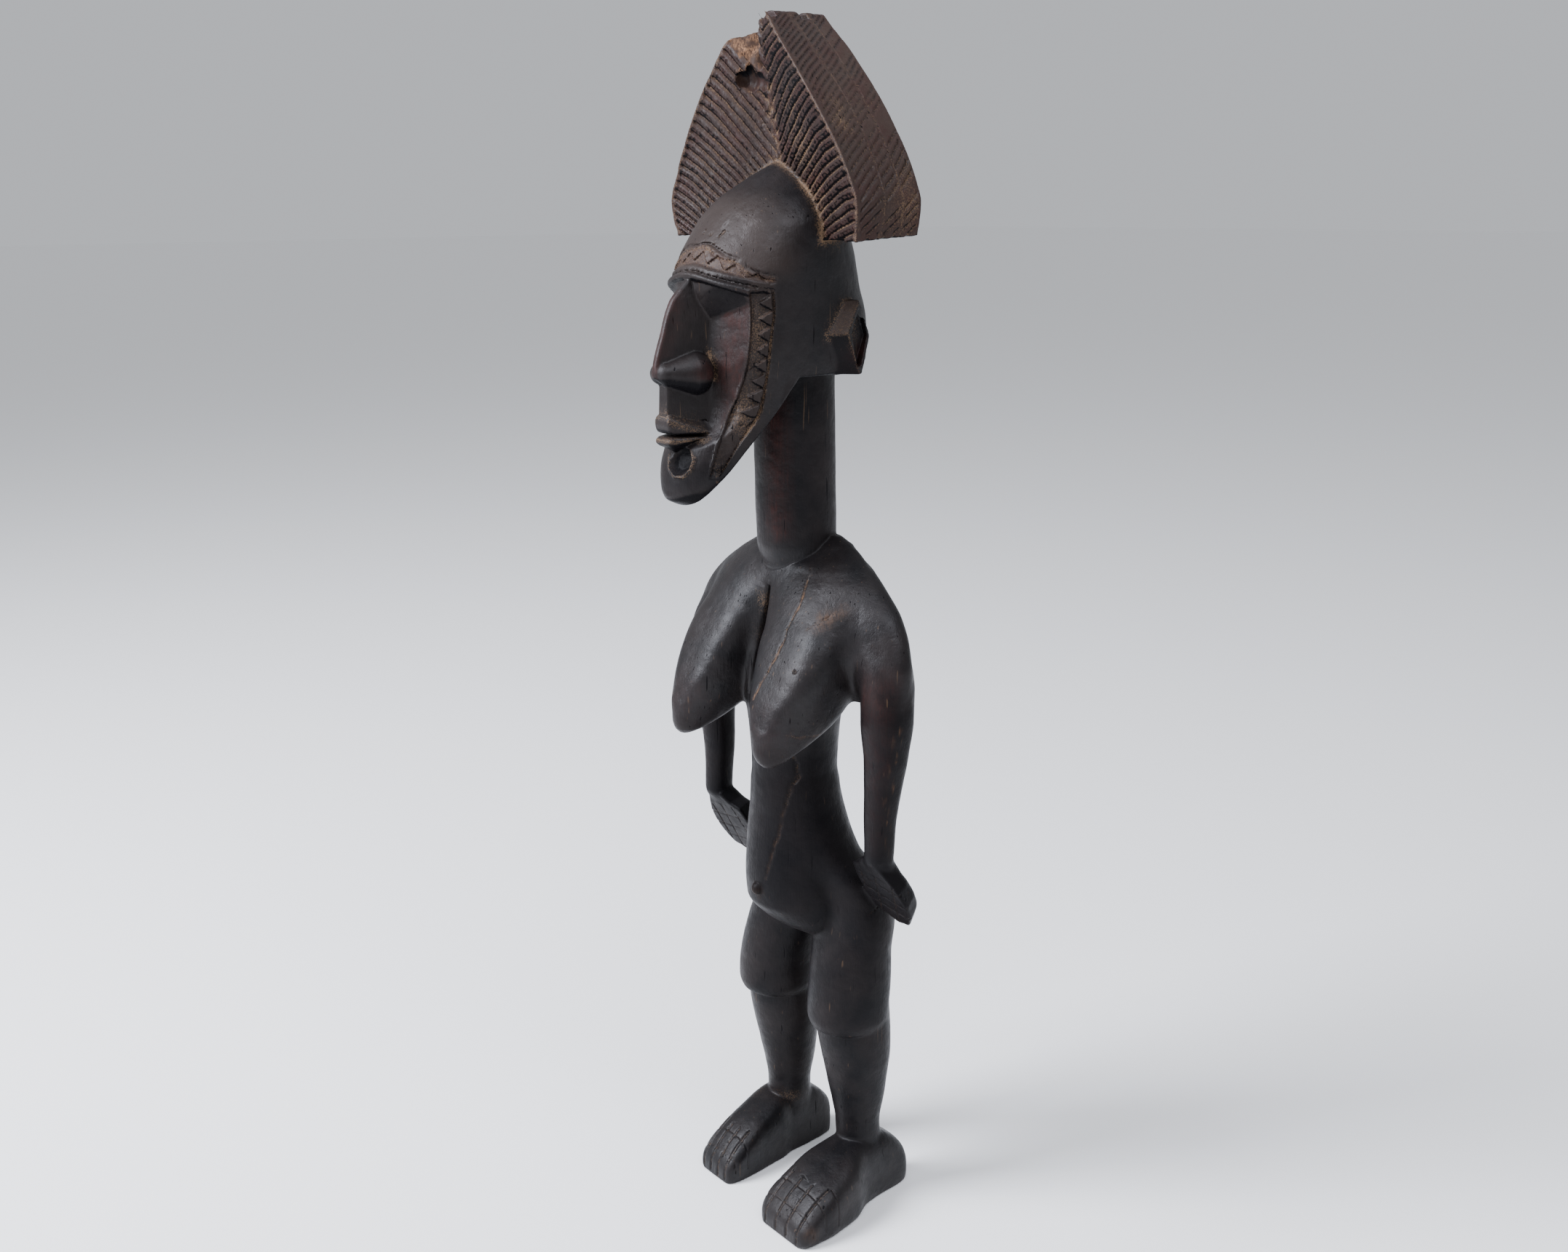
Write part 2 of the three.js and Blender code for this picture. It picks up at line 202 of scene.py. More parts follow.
TRUNK = loft([
    (182, 0, -6, 26, 6, 16, 2),
    (190, 0, -8, 34, 18, 24, 2),
    (200, 0, -10, 36.5, 28.5, 30, 2),
    (212, 0, -12, 36.5, 36, 34, 2),
    (228, 0, -14, 35, 35.5, 35, 2),
    (245, 0, -15, 34, 33.5, 32, 2),
    (263, 0, -16, 31, 30.5, 28, 2),
    (WAIST, 0, -17, 27.5, 28, 26, 2),
    (305, 0, -17, 28.5, 28, 26, 2),
    (335, 0, -16, 34, 29, 23, 2.1),
    (355, 0, -16, 42, 30, 20, 2.3),
    (380, 0, -15, 58, 28, 20, 2.5),
    (400, 0, -13, 56, 20, 16, 2.4),
    (416, 0, -12, 44, 8, 10, 2.2),
])
HIPS = loft([
    (204, 0, 0, 40, 10, 20, 2.2),
    (214, 0, -2, 55, 15, 28, 2.4),
    (226, 0, -5, 53, 17, 30, 2.3),
    (240, 0, -10, 44.5, 20, 31, 2.1),
    (255, 0, -13, 36, 24, 29.5, 2),
    (272, 0, -15, 30, 25, 27, 2),
    (288, 0, -17, 26, 23, 24, 2),
    (302, 0, -17, 12, 10, 10, 2),
])
YOKE = loft([
    (ARMPIT - 12, 1.5, -16, 88, 8, 9, 2.2),
    (ARMPIT - 1, 2.5, -16, 96, 14.5, 17, 2.4),
    (380, 2.5, -16, 99.5, 19.5, 20, 2.4),
    (395, 2.5, -14, 96, 24, 20, 2.2),
    (410, 2.5, -12, 87.5, 26, 19, 2.1),
    (422, 2, -10, 75, 27, 18, 2),
    (433, 2, -8, 59, 25, 15, 1.9),
    (442.5, 1, -5, 44, 17, 11.5, 1.8),
    (SHOULDER - 2, 0, -4, 29, 8, 6.5, 2),
])
NECK = loft([
    (420, 0, -12, 19, 19, 17, 2),
    (446, 0, -14.5, NECK_RADIUS, 25, 24, 2),
    (470, 0, -15.5, NECK_RADIUS, 25, 25, 2),
    (JAW + 30, 0, -17, NECK_RADIUS, 25, 25, 2),
])
BREASTS = paired(loft([
    (321.5, BREAST_X, -72, 4, 4, 6, 2),
    (325, BREAST_X - 1, -67, 8.5, 12.5, 8.5, 2.1),
    (333, BREAST_X - 2, -54, 13.5, 27.5, 12, 2.15),
    (344, BREAST_X - 2.5, -43.5, 19, 36, 16, 2.6),
    (358, BREAST_X - 3.5, -37, 24.3, 37.8, 20, 3.1),
    (373, BREAST_X - 4, -32, 29, 35.5, 20, 3.4),
    (391, BREAST_X - 6.5, -28, 31.7, 30.3, 18, 3.2),
    (406, BREAST_X - 10, -24, 31, 24.5, 14, 2.6),
    (420, BREAST_X - 14, -18, 26, 19.5, 8, 2.2),
    (431, BREAST_X - 16, -11, 16, 10, 4, 2),
    (438, BREAST_X - 18, -5, 4, 3, 3, 2),
]), slimmer=((345, 375, 406, 425), (1, 1.15, 1.18, 1)), middle=37)
ARMS = paired(loft([
    (250, 80, -12, 6.5, 7, 8, 2.2),
    (262, 81.5, -18.5, 8.5, 9, 9, 2.3),
    (283, 82, -18.5, 9.5, 9.5, 9.5, 2.3),
    (311, 85, -18.5, 11.5, 11.5, 11.5, 2.3),
    (330, 87, -18.5, 13, 13.5, 13.5, 2.3),
    (349, 87.3, -18.5, 14.6, 15.5, 16, 2.3),
    (ARMPIT, 85.5, -17, 14.3, 16, 17, 2.3),
    (380, 83, -16, 13, 15, 15, 2.3),
    (392, 78, -15, 11, 12, 13, 2.2),
    (404, 69, -14, 7, 7, 8, 2.2),
]), inward=((250, 300, 345, 380), (0, 4, 4.5, 0)))
THIGHS = paired(loft([
    (KNEE - 4, LEG_X, -3, 19, 20, 18, 2),
    (KNEE - 1, LEG_X, -3, 24, 25.5, 23, 2),
    (KNEE + 6, LEG_X, -3, 26.5, 27.5, 26, 2),
    (155, LEG_X, -2, 27, 27, 27, 2),
    (178, LEG_X - 1, -1, 27.5, 23, 27, 2),
    (HIP - 5, LEG_X - 2, 0, 28, 18, 30, 2),
    (220, LEG_X - 5, -1, 27, 17, 30, 2),
    (234, LEG_X - 10, -4, 20, 11, 21, 2),
    (246, LEG_X - 16, -8, 5, 3, 5, 2),
]), inward=((150, 180, 202, 216, 234), (0, 4, 9, 11, 8)))
CALVES = paired(loft([
    (18, LEG_X + 3, 6, 14, 14, 17, 2),
    (ANKLE + 7, LEG_X, 5, 15, 14.5, 15.5, 1.95),
    (68, LEG_X, 5, 17.5, 17, 18.5, 1.9),
    (86, LEG_X, 4, 20.5, 20, 22, 1.85),
    (104, LEG_X, 2, 23.5, 21.5, 26, 1.85),
    (KNEE - 8, LEG_X, 0, 24.5, 22.5, 27.5, 1.9),
    (KNEE + 12, LEG_X, -1, 24, 21, 26, 2),
]))
HEAD = loft([
    (CHIN - 1, 0, -94, 9, 6, 30, 2),
    (481, 0, -90, 17, 20, 40, 1.9),
    (487, 0, -84, 22, 26.2, 50, 2.3),
    (494, 0, -78, 26, 31.4, 60, 2.3),
    (503, 0, -70, 30, 37, 60, 2.3),
    (514, 0, -62, 34, 40, 70, 2.3),
    (530, 0, -55, 39, 43, 72, 2.3),
    (JAW, 0, -45, 42.5, 42.5, 60, 2.8),
    (566, 0, -40, 44, 48, 58, 3.8),
    (583, 0, HEAD_Y, 44.5, 51, 57, 3.3),
    (BROW - 3, 0, HEAD_Y, 45, 54, 56, 2.6),
    (BROW + 5, 0, HEAD_Y, 45.5, 54, 55, 2.45),
    (616, 0, -37, 46, 51, 53.5, 2.2),
    (633, 0, -34, 46, 42, 45, 2),
    (648, 0, -30, 38, 32, 33, 1.9),
    (660, 0, -27, 22, 17, 22, 1.8),
    (DOME_TOP + 1, 0, -25, 4, 3, 6, 1.8),
])

# The crest's half width at a height, how far forward its front edge stands and how deep its
# fold goes.
near_rim = reader([(CREST_FOOT, 83.5), (636, 85), (646, 86), (654, 83.5), (675, 72.5), (700, 54),
                   (727, 29), (745, 9), (CREST_TOP, 2.5)])
far_rim = reader([(CREST_FOOT, 83.5), (636, 86), (646, 86.5), (662, 79), (697, 57), (720, 40),
                  (737, 27), (CREST_TOP, 12)])
rim_forward = reader([(CREST_FOOT, 0), (660, 3), (700, 5), (730, 3), (CREST_TOP, -3)])
valley_back = reader([(CREST_FOOT, 18), (DOME_TOP, 17), (700, 14), (730, 6), (CREST_TOP, 0)])


def rim_width(x, z):
    return np.where(x > 0, near_rim(z)[0], far_rim(z)[0])


def crest_front(x, z):
    """Where the front of the crest stands: forward at the rim, folded back in the middle."""
    share = np.clip(np.abs(x) / rim_width(x, z), 0, 1)
    return RIM_FRONT - rim_forward(z)[0] + valley_back(z)[0] * (1 - share)


def crest(x, y, z):
    """The fan-shaped crest: a thick plate, its front folded back along the middle."""
    slope = np.where(z > 652, 0.78, 1.0)
    side = (np.abs(x) - rim_width(x, z)) * slope
    faces = np.maximum(crest_front(x, z) - y, y - RIM_BACK)
    edge = within(side, faces, 1.2)
    underside = CREST_FOOT - 3.5 - 0.012 * x + 0.06 * (y + 41)
    return within(edge, np.maximum(underside - z, z - CREST_TOP), 1.2)


# The front of the face under the brow: flat cheeks, meeting the brow in a slanting underside.
cheek_forward = reader([(470, 60), (495, 40), (505, 24), (515, 9), (525, 2), (540, 0), (620, 0)])
ridge_line = reader([(540, 112), (546, 114), (551, NOSE_TIP), (578, 111.5), (593, 105.5),
                     (602, 97), (612, 86)])
upper_lip = reader([(518.6, 110), (519.6, 112), (522, 113.5), (525, LIPS), (528, 113.5),
                    (532, 110), (536, 104)])
lower_lip = reader([(507, 104), (510, 108), (512.5, 112.5), (514.5, LIPS), (516.5, 113),
                    (518.4, 107)])


def brow_level(ax):
    return BROW + 6 - 10 * (ax / 41) ** 1.6


def cheeks(ax, y, z):
    """What stands behind the flat cheeks, or above the slanting underside of the brow."""
    lean = 0.13 * np.maximum(0, z - 556)
    cheek = 0.25 * ax - 0.968 * y + lean - 87.4 - cheek_forward(z)[0]
    underside = 0.399 * ax - 0.831 * y - 0.389 * z + 152.4
    return union(cheek, underside, 0.8)


def wedge(ax, y, front, front_width, width, length):
    """A form with a narrow flat front, widening over its length to the face behind it."""
    widening = (width - front_width) / length
    side = (ax - front_width - (y + front) * widening) / math.hypot(1, widening)
    return within(side, -(y + front), 1.5)


def nose(x, y, z):
    ax = np.abs(x)
    body = wedge(ax, y, ridge_line(z)[0], 2.2, 9.5, 27)
    floor = (545 + (-y - 102) * 0.33 - z) * 0.95
    body = within(body, np.maximum.reduce([floor, z - 606, y + 82]), 1.5)
    wing = round_bar(ax, y, z, (3, -111, 553), (7.5, -95.5, 553), 6.5, 12)
    wing = within(wing, y + 87, 1.5)
    return union(body, wing, 1.5)


def mouth(x, y, z):
    """Two thrust-out lips, thick in the middle and meeting in a point at each corner."""
    ax = np.abs(x)
    above = wedge(ax, y, upper_lip(z)[0], 7, 16, 19) * 0.8
    above = within(above, np.maximum((z - 535 + 0.9 * ax) * 0.74, 518.9 - z), 1.0)
    below = wedge(ax, y, lower_lip(z)[0], 7, 15, 19) * 0.8
    below = within(below, np.maximum((507.5 + 0.62 * ax - z) * 0.85, z - 518.0), 1.0)
    column = wedge(ax, y, 112.5 + 0.03 * (545 - z), 4.5, 11, 22) * 0.9
    column = np.maximum.reduce([column, 526 - z, z - 549])
    return np.maximum(np.minimum.reduce([above, below, column]), y + 86)


def brow_roll(x, y, z):
    """The polished roll along the lower edge of the forehead."""
    ax = np.abs(x)
    outside = superellipse(x, y - HEAD_Y, 45.2, 54, 2.5)
    up = z - brow_level(ax)
    ring = np.sqrt((outside / 2.6) ** 2 + (up / 2.7) ** 2)
    return within((ring - 1) * 2.6, np.maximum(ax - 40, y + 55), 2.0)


EAR_OUTLINE = [(-29, 574), (-22, 591), (-8, 592), (3, 571), (-5, 549), (-27, 549)]
EAR_HOLLOW = [(-15, 573), (-8.5, 586), (-5, 586), (0, 571), (-6, 554), (-9.5, 554)]


def ear_planes(ax, y, z):
    """Distances from the two slanting planes and the outer face of an ear, the outermost last."""
    upper = 0.652 * ax - 0.61 * y + 0.448 * z - 302.7
    lower = 0.689 * ax - 0.611 * y - 0.389 * z + 174.9
    outer = 0.968 * ax + 0.25 * y - 46.2
    return np.sort([upper, lower, outer], axis=0)


def ears(x, y, z):
    """Angular ears: two slanting planes in front, a plain outer face and a hollow cut in it."""
    ax = np.abs(x)
    planes = np.maximum(ear_planes(ax, y, z)[-1], 36 - ax)
    body = np.maximum(polygon(y, z, EAR_OUTLINE), planes)
    floor = 43.5 + (z - 552) * 0.03 - ax
    return within(body, -np.maximum(polygon(y, z, EAR_HOLLOW), floor), 0.8)


def under_jaw(y, z):
    """The sloping underside of the jaw and the level underside of the skull."""
    slope = (JAW - CHIN) / 54
    jaw = (z - CHIN - (y + 100) * slope) / math.hypot(1, slope)
    return np.minimum(-jaw, JAW - z)


def head(x, y, z):
    ax = np.abs(x)
    body = HEAD[0](x, y, z)
    body = within(body, under_jaw(y, z), 2.0)
    body = within(body, cheeks(ax, y, z), 1.2)
    return body


# The front of a hand, drawn across and up, from the hip round by the wrist to the fingertips.
HAND_OUTLINE = [(54, 240), (57, 251), (65, 254), (71, 260), (85, 258), (91, 249), (96, 240),
                (97.5, 229), (95, 219), (89, 211.5), (78, 209.5), (62, 213), (54, 223)]


HAND_SLANT = 0.49


def hand_front(ax, y, z):
    return 108.6 - 0.05 * ax - 0.87 * y - HAND_SLANT * z


def hands(x, y, z):
    """Flat hands resting on the hips: a slanting front for the fingers, narrower behind it."""
    ax = np.abs(x)
    front = hand_front(ax, y, z)
    edge = polygon(ax, z + HAND_SLANT * front, HAND_OUTLINE) * 0.93
    edge = edge - 0.33 * np.minimum(front, 0)
    return within(within(edge, front, 2.5), -front - 15, 6.0)


def foot(ax, y, z, toe_x, toe_width, toe_y, tall):
    """A thick foot, level below, its inner wall upright. Stations: y, x, half width, height."""
    read = reader([
        (toe_y, toe_x, toe_width * 0.66, 7 * tall),
        (toe_y + 1.5, toe_x, toe_width * 0.84, 12 * tall),
        (toe_y + 5, toe_x, toe_width * 0.95, 17 * tall),
        (toe_y + 12, toe_x, toe_width, 24 * tall),
        (toe_y + 24, toe_x + 0.5, toe_width, 32 * tall),
        (toe_y + 38, toe_x * 0.7 + 12.6, toe_width * 0.98, 38 * tall),
        (toe_y + 50, (toe_x + 42) / 2, toe_width * 0.68 + 5.6, 42 * tall),
        (-2, 40.5, 17, 45),
        (14, 39.5, 15.5, 44),
        (27, 39.5, 14.5, 37),
        (35, 39.5, 12.5, 29),
        (39, 40, 9, 21),
        (41.5, 40, 6, 14),
    ])
    cx, width, height = read(y)
    middle = height * 0.4
    across = ax - cx
    up = z - middle
    depth = np.where(up > 0, height - middle, middle * 1.5)
    square = np.where(across < 0, 3.8, 2.8)
    side = superellipse(across, up, width, depth, square) * 0.85
    return np.maximum.reduce([side, -z, toe_y - y, y - 42])


def feet(x, y, z):
    ax = np.abs(x)
    return np.where(x > 0, foot(ax, y, z, 45, 25, -69, 1.0), foot(ax, y, z, 36, 18.5, -62, 1.04))


def navel(x, y, z):
    button = np.sqrt(x**2 + (z - 222) ** 2 + (np.minimum(0, y + 49.5) * 1.2) ** 2) - 4.2
    return np.maximum(button, y + 40)


def bosom_notch(x, y, z):
    """The deep V between the breasts, narrowing upwards to a point below the neck."""
    half_width = np.clip((420 - z) * 0.16, 0, 12)
    side = (np.abs(x) - half_width) * 0.95
    floor = (y + 31 + 0.2 * (420 - z)) * 0.6
    return np.maximum.reduce([side, floor, z - 420, 330 - z])


# Each form with its lowest and highest level, and the width over which it melts into the rest.
FORMS = [
    (*TRUNK, 1.0),
    (*HIPS, lambda z: np.interp(z, (215, 245), (2.5, 10.0))),
    (*YOKE, 9.0),
    (*ARMS, 6.5),
    (*BREASTS, lambda z: np.interp(z, (372, 400), (4.0, 12.0))),
    (*THIGHS, lambda z: np.interp(z, (212, 236), (3.0, 10.0))),
    (*CALVES, 1.6),
    (feet, 0, 48, 1.8),
    (hands, 206, 270, 3.0),
    (*NECK, 1.0),
    (navel, 216, 228, 1.2),
    (head, CHIN - 2, DOME_TOP + 2, 1.5),
    (brow_roll, BROW - 12, BROW + 12, 0.8),
    (nose, 538, 608, 1.0),
    (mouth, 503, 549, 1.4),
    (ears, 547, 594, 1.5),
    (crest, CREST_FOOT - 5, CREST_TOP, 1.2),
]


def bare(x, y, z):
    """Distance from the figure before its fine cuts. All points lie in one thin level layer."""
    low, high = z.min(), z.max()
    total = np.full(x.shape, FAR)
    for form, bottom, top, blend in FORMS:
        if low < top + REACH and high > bottom - REACH:
            total = union(total, form(x, y, z), blend(z) if callable(blend) else blend)
    if low < 420 and high > 320:
        total = within(total, -bosom_notch(x, y, z), 3.0)
    return total


def notch(distance, half_width, depth):
    """Depth of a V-shaped cut at this distance to either side of its line."""
    return depth * np.clip(1 - np.abs(distance) / half_width, 0, 1)


def step(value, start, end):
    """0 before start and 1 after end."""
    return np.clip((value - start) / (end - start), 0, 1)


def span(value, start, full, fading, end):
    """1 from full to fading, and 0 before start and after end."""
    return step(value, start, full) * step(end - value, 0, end - fading)


def around(x, y, z, centre, radius, amount):
    """A value that falls from amount at the centre to 0 at the radius."""
    cx, cy, cz = centre
    return notch(np.sqrt((x - cx) ** 2 + (y - cy) ** 2 + (z - cz) ** 2), radius, amount)


def wander(a, b, size):
    """A smooth uneven value between -1 and 1, its humps this far apart."""
    a, b = 2 * a / size, 2 * b / size
    slow = np.sin(a + 1.3 * np.sin(0.7 * b + 1))
    return 0.6 * slow + 0.4 * np.sin(1.7 * b + 0.9 * np.sin(1.3 * a + 4))


def off_whole(value):
    """How far a value is from the nearest whole number."""
    return np.abs(value - np.round(value))


def scatter(number):
    """A different value from 0 to 1 for each whole number."""
    return np.abs(np.sin(number * 12.9898) * 437.585) % 1


# The height on the rim of the lowest rib, and from it to the highest.
RIB_FOOT = 636
RIB_RISE = 111


def rib_top(x, z):
    """The height at which the rib through this point meets the rim of the crest."""
    top = z
    for _ in range(7):
        gap = rim_width(x, top) - np.abs(x)
        climb = (top - RIB_FOOT) / RIB_RISE
        near = 0.13 + 0.29 * climb + (0.004 + 0.004 * climb) * gap
        far = 0.5 + 0.6 * climb + 0.003 * gap
        top = 0.5 * (top + z + gap * np.where(x > 0, near, far))
    return top


def crest_ribs(x, y, z):
    """Ribs that climb from the fold of the crest to its rim, parted by fine dusty grooves."""
    width = rim_width(x, z)
    ax = np.abs(x)
    on_face = step(3.5 - (y - crest_front(x, z)), 0, 1) * step(width - ax, 1.4, 3)
    on_face = on_face * step(HEAD[0](x, y, z), 0.2, 1)
    climb = rib_top(x, z) - RIB_FOOT
    # Up the rim the near ribs stand 6.2 mm apart at the foot and 4.4 mm at the top.
    place = np.where(x > 0, climb / 6.2 + 0.0003 * climb**2, climb / 4.83)
    place = place + 0.14 * wander(x, z, 30) + 0.07 * wander(x, z, 9)
    across = place - np.round(place)
    groove = notch(across * 5.6, 1.3, 1.7)
    swell = 1.2 * across**2 + 0.5 * (0.5 - across)
    loose = step(14 - ax, 0, 12) * (z < 712) * (x < 4)
    crumbs = loose * 0.9 * np.abs(wander(x, z, 4.5)) * (wander(z, x, 11) > -0.3)
    depth = on_face * ((groove + 0.5 - swell) * (1 - 0.6 * loose) + crumbs)
    strip = notch(ax - 0.45 * width, 16, 1) * step(702 - z, 0, 25) * (x > 0)
    patchy = 0.55 + 0.45 * wander(x + 3, z, 18)
    dust = groove / 1.7 * (0.3 + 0.65 * patchy) * (0.85 + strip) + strip * 0.75 * patchy
    return depth, on_face * np.clip(dust + loose * (0.1 + 0.6 * crumbs), 0, 1)


rim_fall = np.linspace(CREST_FOOT, CREST_TOP, 300)
rim_length = np.cumsum(np.hypot(np.gradient(rim_fall), np.gradient(near_rim(rim_fall)[0])))


def rim_cuts(x, y, z):
    """The plain side of the crest: two long lines, and slanting dashes between them."""
    side = rim_width(x, z) - np.abs(x)
    front = y - RIM_FRONT + rim_forward(z)[0]
    on_side = step(4 - side, 0, 1) * step(front, -1, 1) * step(RIM_BACK - y, 1.5, 3)
    lines = np.minimum(np.abs(y + 22 + 0.6 * wander(z, x, 60)),
                       np.abs(y + 8 + 0.6 * wander(x, z, 60)))
    along = rim_length[-1] - np.interp(z, rim_fall, rim_length)
    band = np.where(y < -22, 0, np.where(y < -8, 1, 2))
    # The dashes stand 3.5 mm apart at the top and 6 mm at the foot.
    place = 62 * np.log(1 + (along + 0.85 * (y + 41) + 1.3 * wander(along, y, 25)) / 220) + band * 0.4
    number = np.round(place) + 100 * band
    shape = scatter(number)
    reach = step(lines, 0.7, 1.4) * step(front, 1.2 + 3 * shape, 2.4 + 3 * shape)
    reach = reach * step(lines, 3 * scatter(number + 0.5) - 1.5, 3 * scatter(number + 0.5))
    dash = notch(off_whole(place) * 3.6, 1.1, 1.2) * (shape > 0.12) * reach
    worn = 0.55 + 0.45 * wander(along, y, 34)
    lip = notch(front - 1, 1.8, 0.35)
    depth = on_side * (notch(lines, 0.8, 0.5) + dash * (0.4 + 0.6 * worn) - lip)
    low = step(along, 30, 80)
    patch = step(wander(along + 9, y + 5, 40), 0.25, 0.8) * low
    smear = notch(np.hypot(z - 692, (y + 33) * 1.4), 13, 0.8) * (0.5 + 0.5 * wander(z, y, 6))
    dust = dash * low * 0.35 + notch(lines, 0.9, 0.5) + patch * 0.36 + smear
    # A pale line also runs along the front edge of the side.
    return depth, on_side * np.clip(dust + notch(front - 0.4, 1.0, 0.62), 0, 1)


def crest_back(x, y, z):
    """Plainer, shallow chevrons on the back of the crest."""
    ax = np.abs(x)
    on_back = step(y, RIM_BACK - 3, RIM_BACK - 1) * step(rim_width(x, z) - ax, 2, 3.5)
    place = (z + 0.7 * ax + 0.8 * wander(x, z, 30)) / 9
    return on_back * notch(off_whole(place) * 7.4, 1.2, 0.7), on_back * 0


def broken_tip(x, y, z):
    """What is lost from the top of the crest's far half, and the hollow that opens below it."""
    fibre = 0.7 * wander(x, 40 + z * 0.1, 2.6) + 0.5 * wander(x + y, z, 6)
    slant = 0.581 * (x + 4) - 0.621 * (y + 20) + 0.526 * (z - 738)
    top = z - 740.5 + 0.08 * (x + 15) + 0.45 * np.maximum(0, -15 - x)
    torn = np.minimum(-3.5 - x, np.maximum(top, slant) + fibre)
    sunk = z - 711 + 0.2 * x
    hollow = np.sqrt(((x + 11) / 13) ** 2 + ((y + 37) / 4.5) ** 2 + (sunk / 6) ** 2)
    chips = np.minimum(2.8 - np.minimum(np.abs(y + 35), np.abs(y + 11)), z - 746.5 - 0.3 * fibre)
    return np.maximum.reduce([torn, chips, (1 - hollow) * 5.5 + 2 * fibre])


def border_drop(ax):
    """How much lower the border over the forehead's triangles stands than in the middle."""
    return 8.2 * (ax / 44) ** 1.6


def forehead_band(x, y, z):
    """Under the polished dome: a cracked border, a row of hanging triangles and two ridges."""
    ax = np.abs(x)
    arc = 52 * np.arctan2(x, -(y + 38))
    up = z - brow_level(ax) + 0.4 * wander(x, y, 17)
    on_front = step(-y, 62, 64.5)
    border = 18 - border_drop(ax) + 1.1 * wander(arc, z, 9)
    taper = 3 * (ax / 40) ** 2
    zigzag = 8 - taper + (11.5 - taper) * off_whole(arc / 13 + 0.15)
    recess = step(up, 5.6, 6.6) * step(zigzag - up, -0.3, 0.5)
    band = step(up - zigzag, -0.5, 0.3) * step(border - up, 0, 0.8)
    crust = 0.4 * np.abs(wander(arc, z, 3.1)) + 0.3 * np.abs(wander(z, arc, 7))
    split = notch(up - border + 0.6, 1.2, 1.8) * (0.65 + 0.5 * wander(arc, z, 14))
    flakes = notch(up - border + 3.4 + 1.0 * wander(arc, z, 12), 0.8, 1.0)
    ridges = notch(up - 2.2, 0.9, 0.9) + notch(up - 5.9, 0.8, 0.7)
    nicks = notch(off_whole(arc / 5.3 + 0.2 * wander(arc, z, 13)) * 5, 0.5, 0.6)
    nicks = nicks * notch(up - 2.6, 2.3, 1)
    pits = step(wander(arc, z, 3.3), 0.62, 0.8) * step(8 - np.abs(up - 25), 0, 4)
    pits = pits * (np.abs(x - 4) < 9)
    depth = recess * (1.7 + 0.5 * crust) + band * crust + split + flakes + ridges + nicks + pits
    dust = band * (0.2 + 0.2 * wander(arc, z, 8) + 0.12 * step(14 - x, 0, 16))
    dust = dust + recess * (0.15 + 0.3 * crust)
    dust = dust + 0.3 * flakes + 0.35 * pits + 0.1 * ridges - 0.5 * split
    return on_front * depth, np.clip(on_front * dust, 0, 1)


# The edges of the band down the cheek, in degrees round the face at each height.
inner_edge = reader([(495, 25), (528.5, 35), (541, 43.3), (561, 51.2), (582, 53.7), (606, 52)])
outer_edge = reader([(495, 30), (512, 43), (532.5, 61.4), (553, 66.5), (570, 68.4), (590, 71.8),
                     (606, 71)])


def face_angle(x, y):
    return np.degrees(np.arctan2(np.abs(x), -(y + 50)))


def cheek_band(x, y, z):
    """A sunk band down the side of the face, with a row of raised triangles pointing inwards."""
    angle = face_angle(x, y)
    inner, outer = inner_edge(z)[0], outer_edge(z)[0]
    share = (angle - inner) / (outer - inner)
    ends = span(z, 494, 498, 597, 600) * step(-y, 55, 58)
    inside = step(share, 0, 0.07) * step(1 - share, 0, 0.07) * ends
    spacing = 8.6
    offset = off_whole((z + 1.2) / spacing) * spacing
    tooth = step((share - 0.3) / 0.6 * 4.6 - offset, -0.2, 0.6) * (share < 0.9)
    tooth = tooth * step(z, 524, 530)
    crust = 0.5 * np.abs(wander(y, z, 3.6)) * step(560 - z, 0, 25)
    crust = crust + 0.2 * np.abs(wander(z, y, 2.5))
    ridge = notch(share + 0.04, 0.09, 0.5) * ends
    gutter = notch(share - 0.97, 0.09, 0.9) * ends
    depth = inside * (2.0 + crust) * (1 - tooth) + gutter - ridge
    patchy = 0.5 + 0.5 * wander(z, y, 15)
    dust = gutter * (0.4 + 0.6 * patchy) + inside * (1 - tooth) * 0.45 * patchy + ridge * 0.5 * patchy
    return depth, np.clip(dust, 0, 1)


CHIN_RIM = [(-4.5, 506), (-1, 499.5), (5, 495), (11, 495), (15, 499.5), (15, 505.5), (11.5, 509.5)]


def chin_mark(x, y, z):
    """A dark hollow in the chin inside a raised rim."""
    on_chin = step(-y, 90, 95)
    rim = notch(stroke(x, z, CHIN_RIM), 1.8, 1.1)
    hollow = np.clip(1 - ((x - 6.5) / 8) ** 2 - ((z - 503.5) / 8) ** 2, 0, 1) * 5
    return on_chin * (np.minimum(hollow, 3.4) - rim), on_chin * (rim * 0.5 - hollow)


FINGERS = ([(63, 246), (55, 220)], [(77, 246), (65, 216)], [(92, 243), (80, 214)])
FAR_FINGERS = ([(88, 246), (88, 216)], [(77, 249), (79, 213)], [(66, 250), (62, 230)])


def finger_lines(x, y, z):
    """Fingers drawn as a grid of fine cuts on the front of each hand."""
    ax = np.abs(x)
    front = hand_front(ax, y, z)
    level = z + HAND_SLANT * front
    on_hand = step(front, -3, -2) * step(ax, 57, 60)
    long_cuts = np.where(x > 0, np.min([stroke(ax, level, line) for line in FINGERS], axis=0),
                         np.min([stroke(ax, level, line) for line in FAR_FINGERS], axis=0))
    cross = off_whole((level + 0.12 * (ax - 75) - 213) / 9.2) * 9
    cross = cross + 9 * (level > 243) + 9 * (level < 209)
    cut = on_hand * np.maximum(notch(long_cuts, 0.8, 0.7), notch(cross, 0.7, 0.5))
    return cut, cut * 0.6


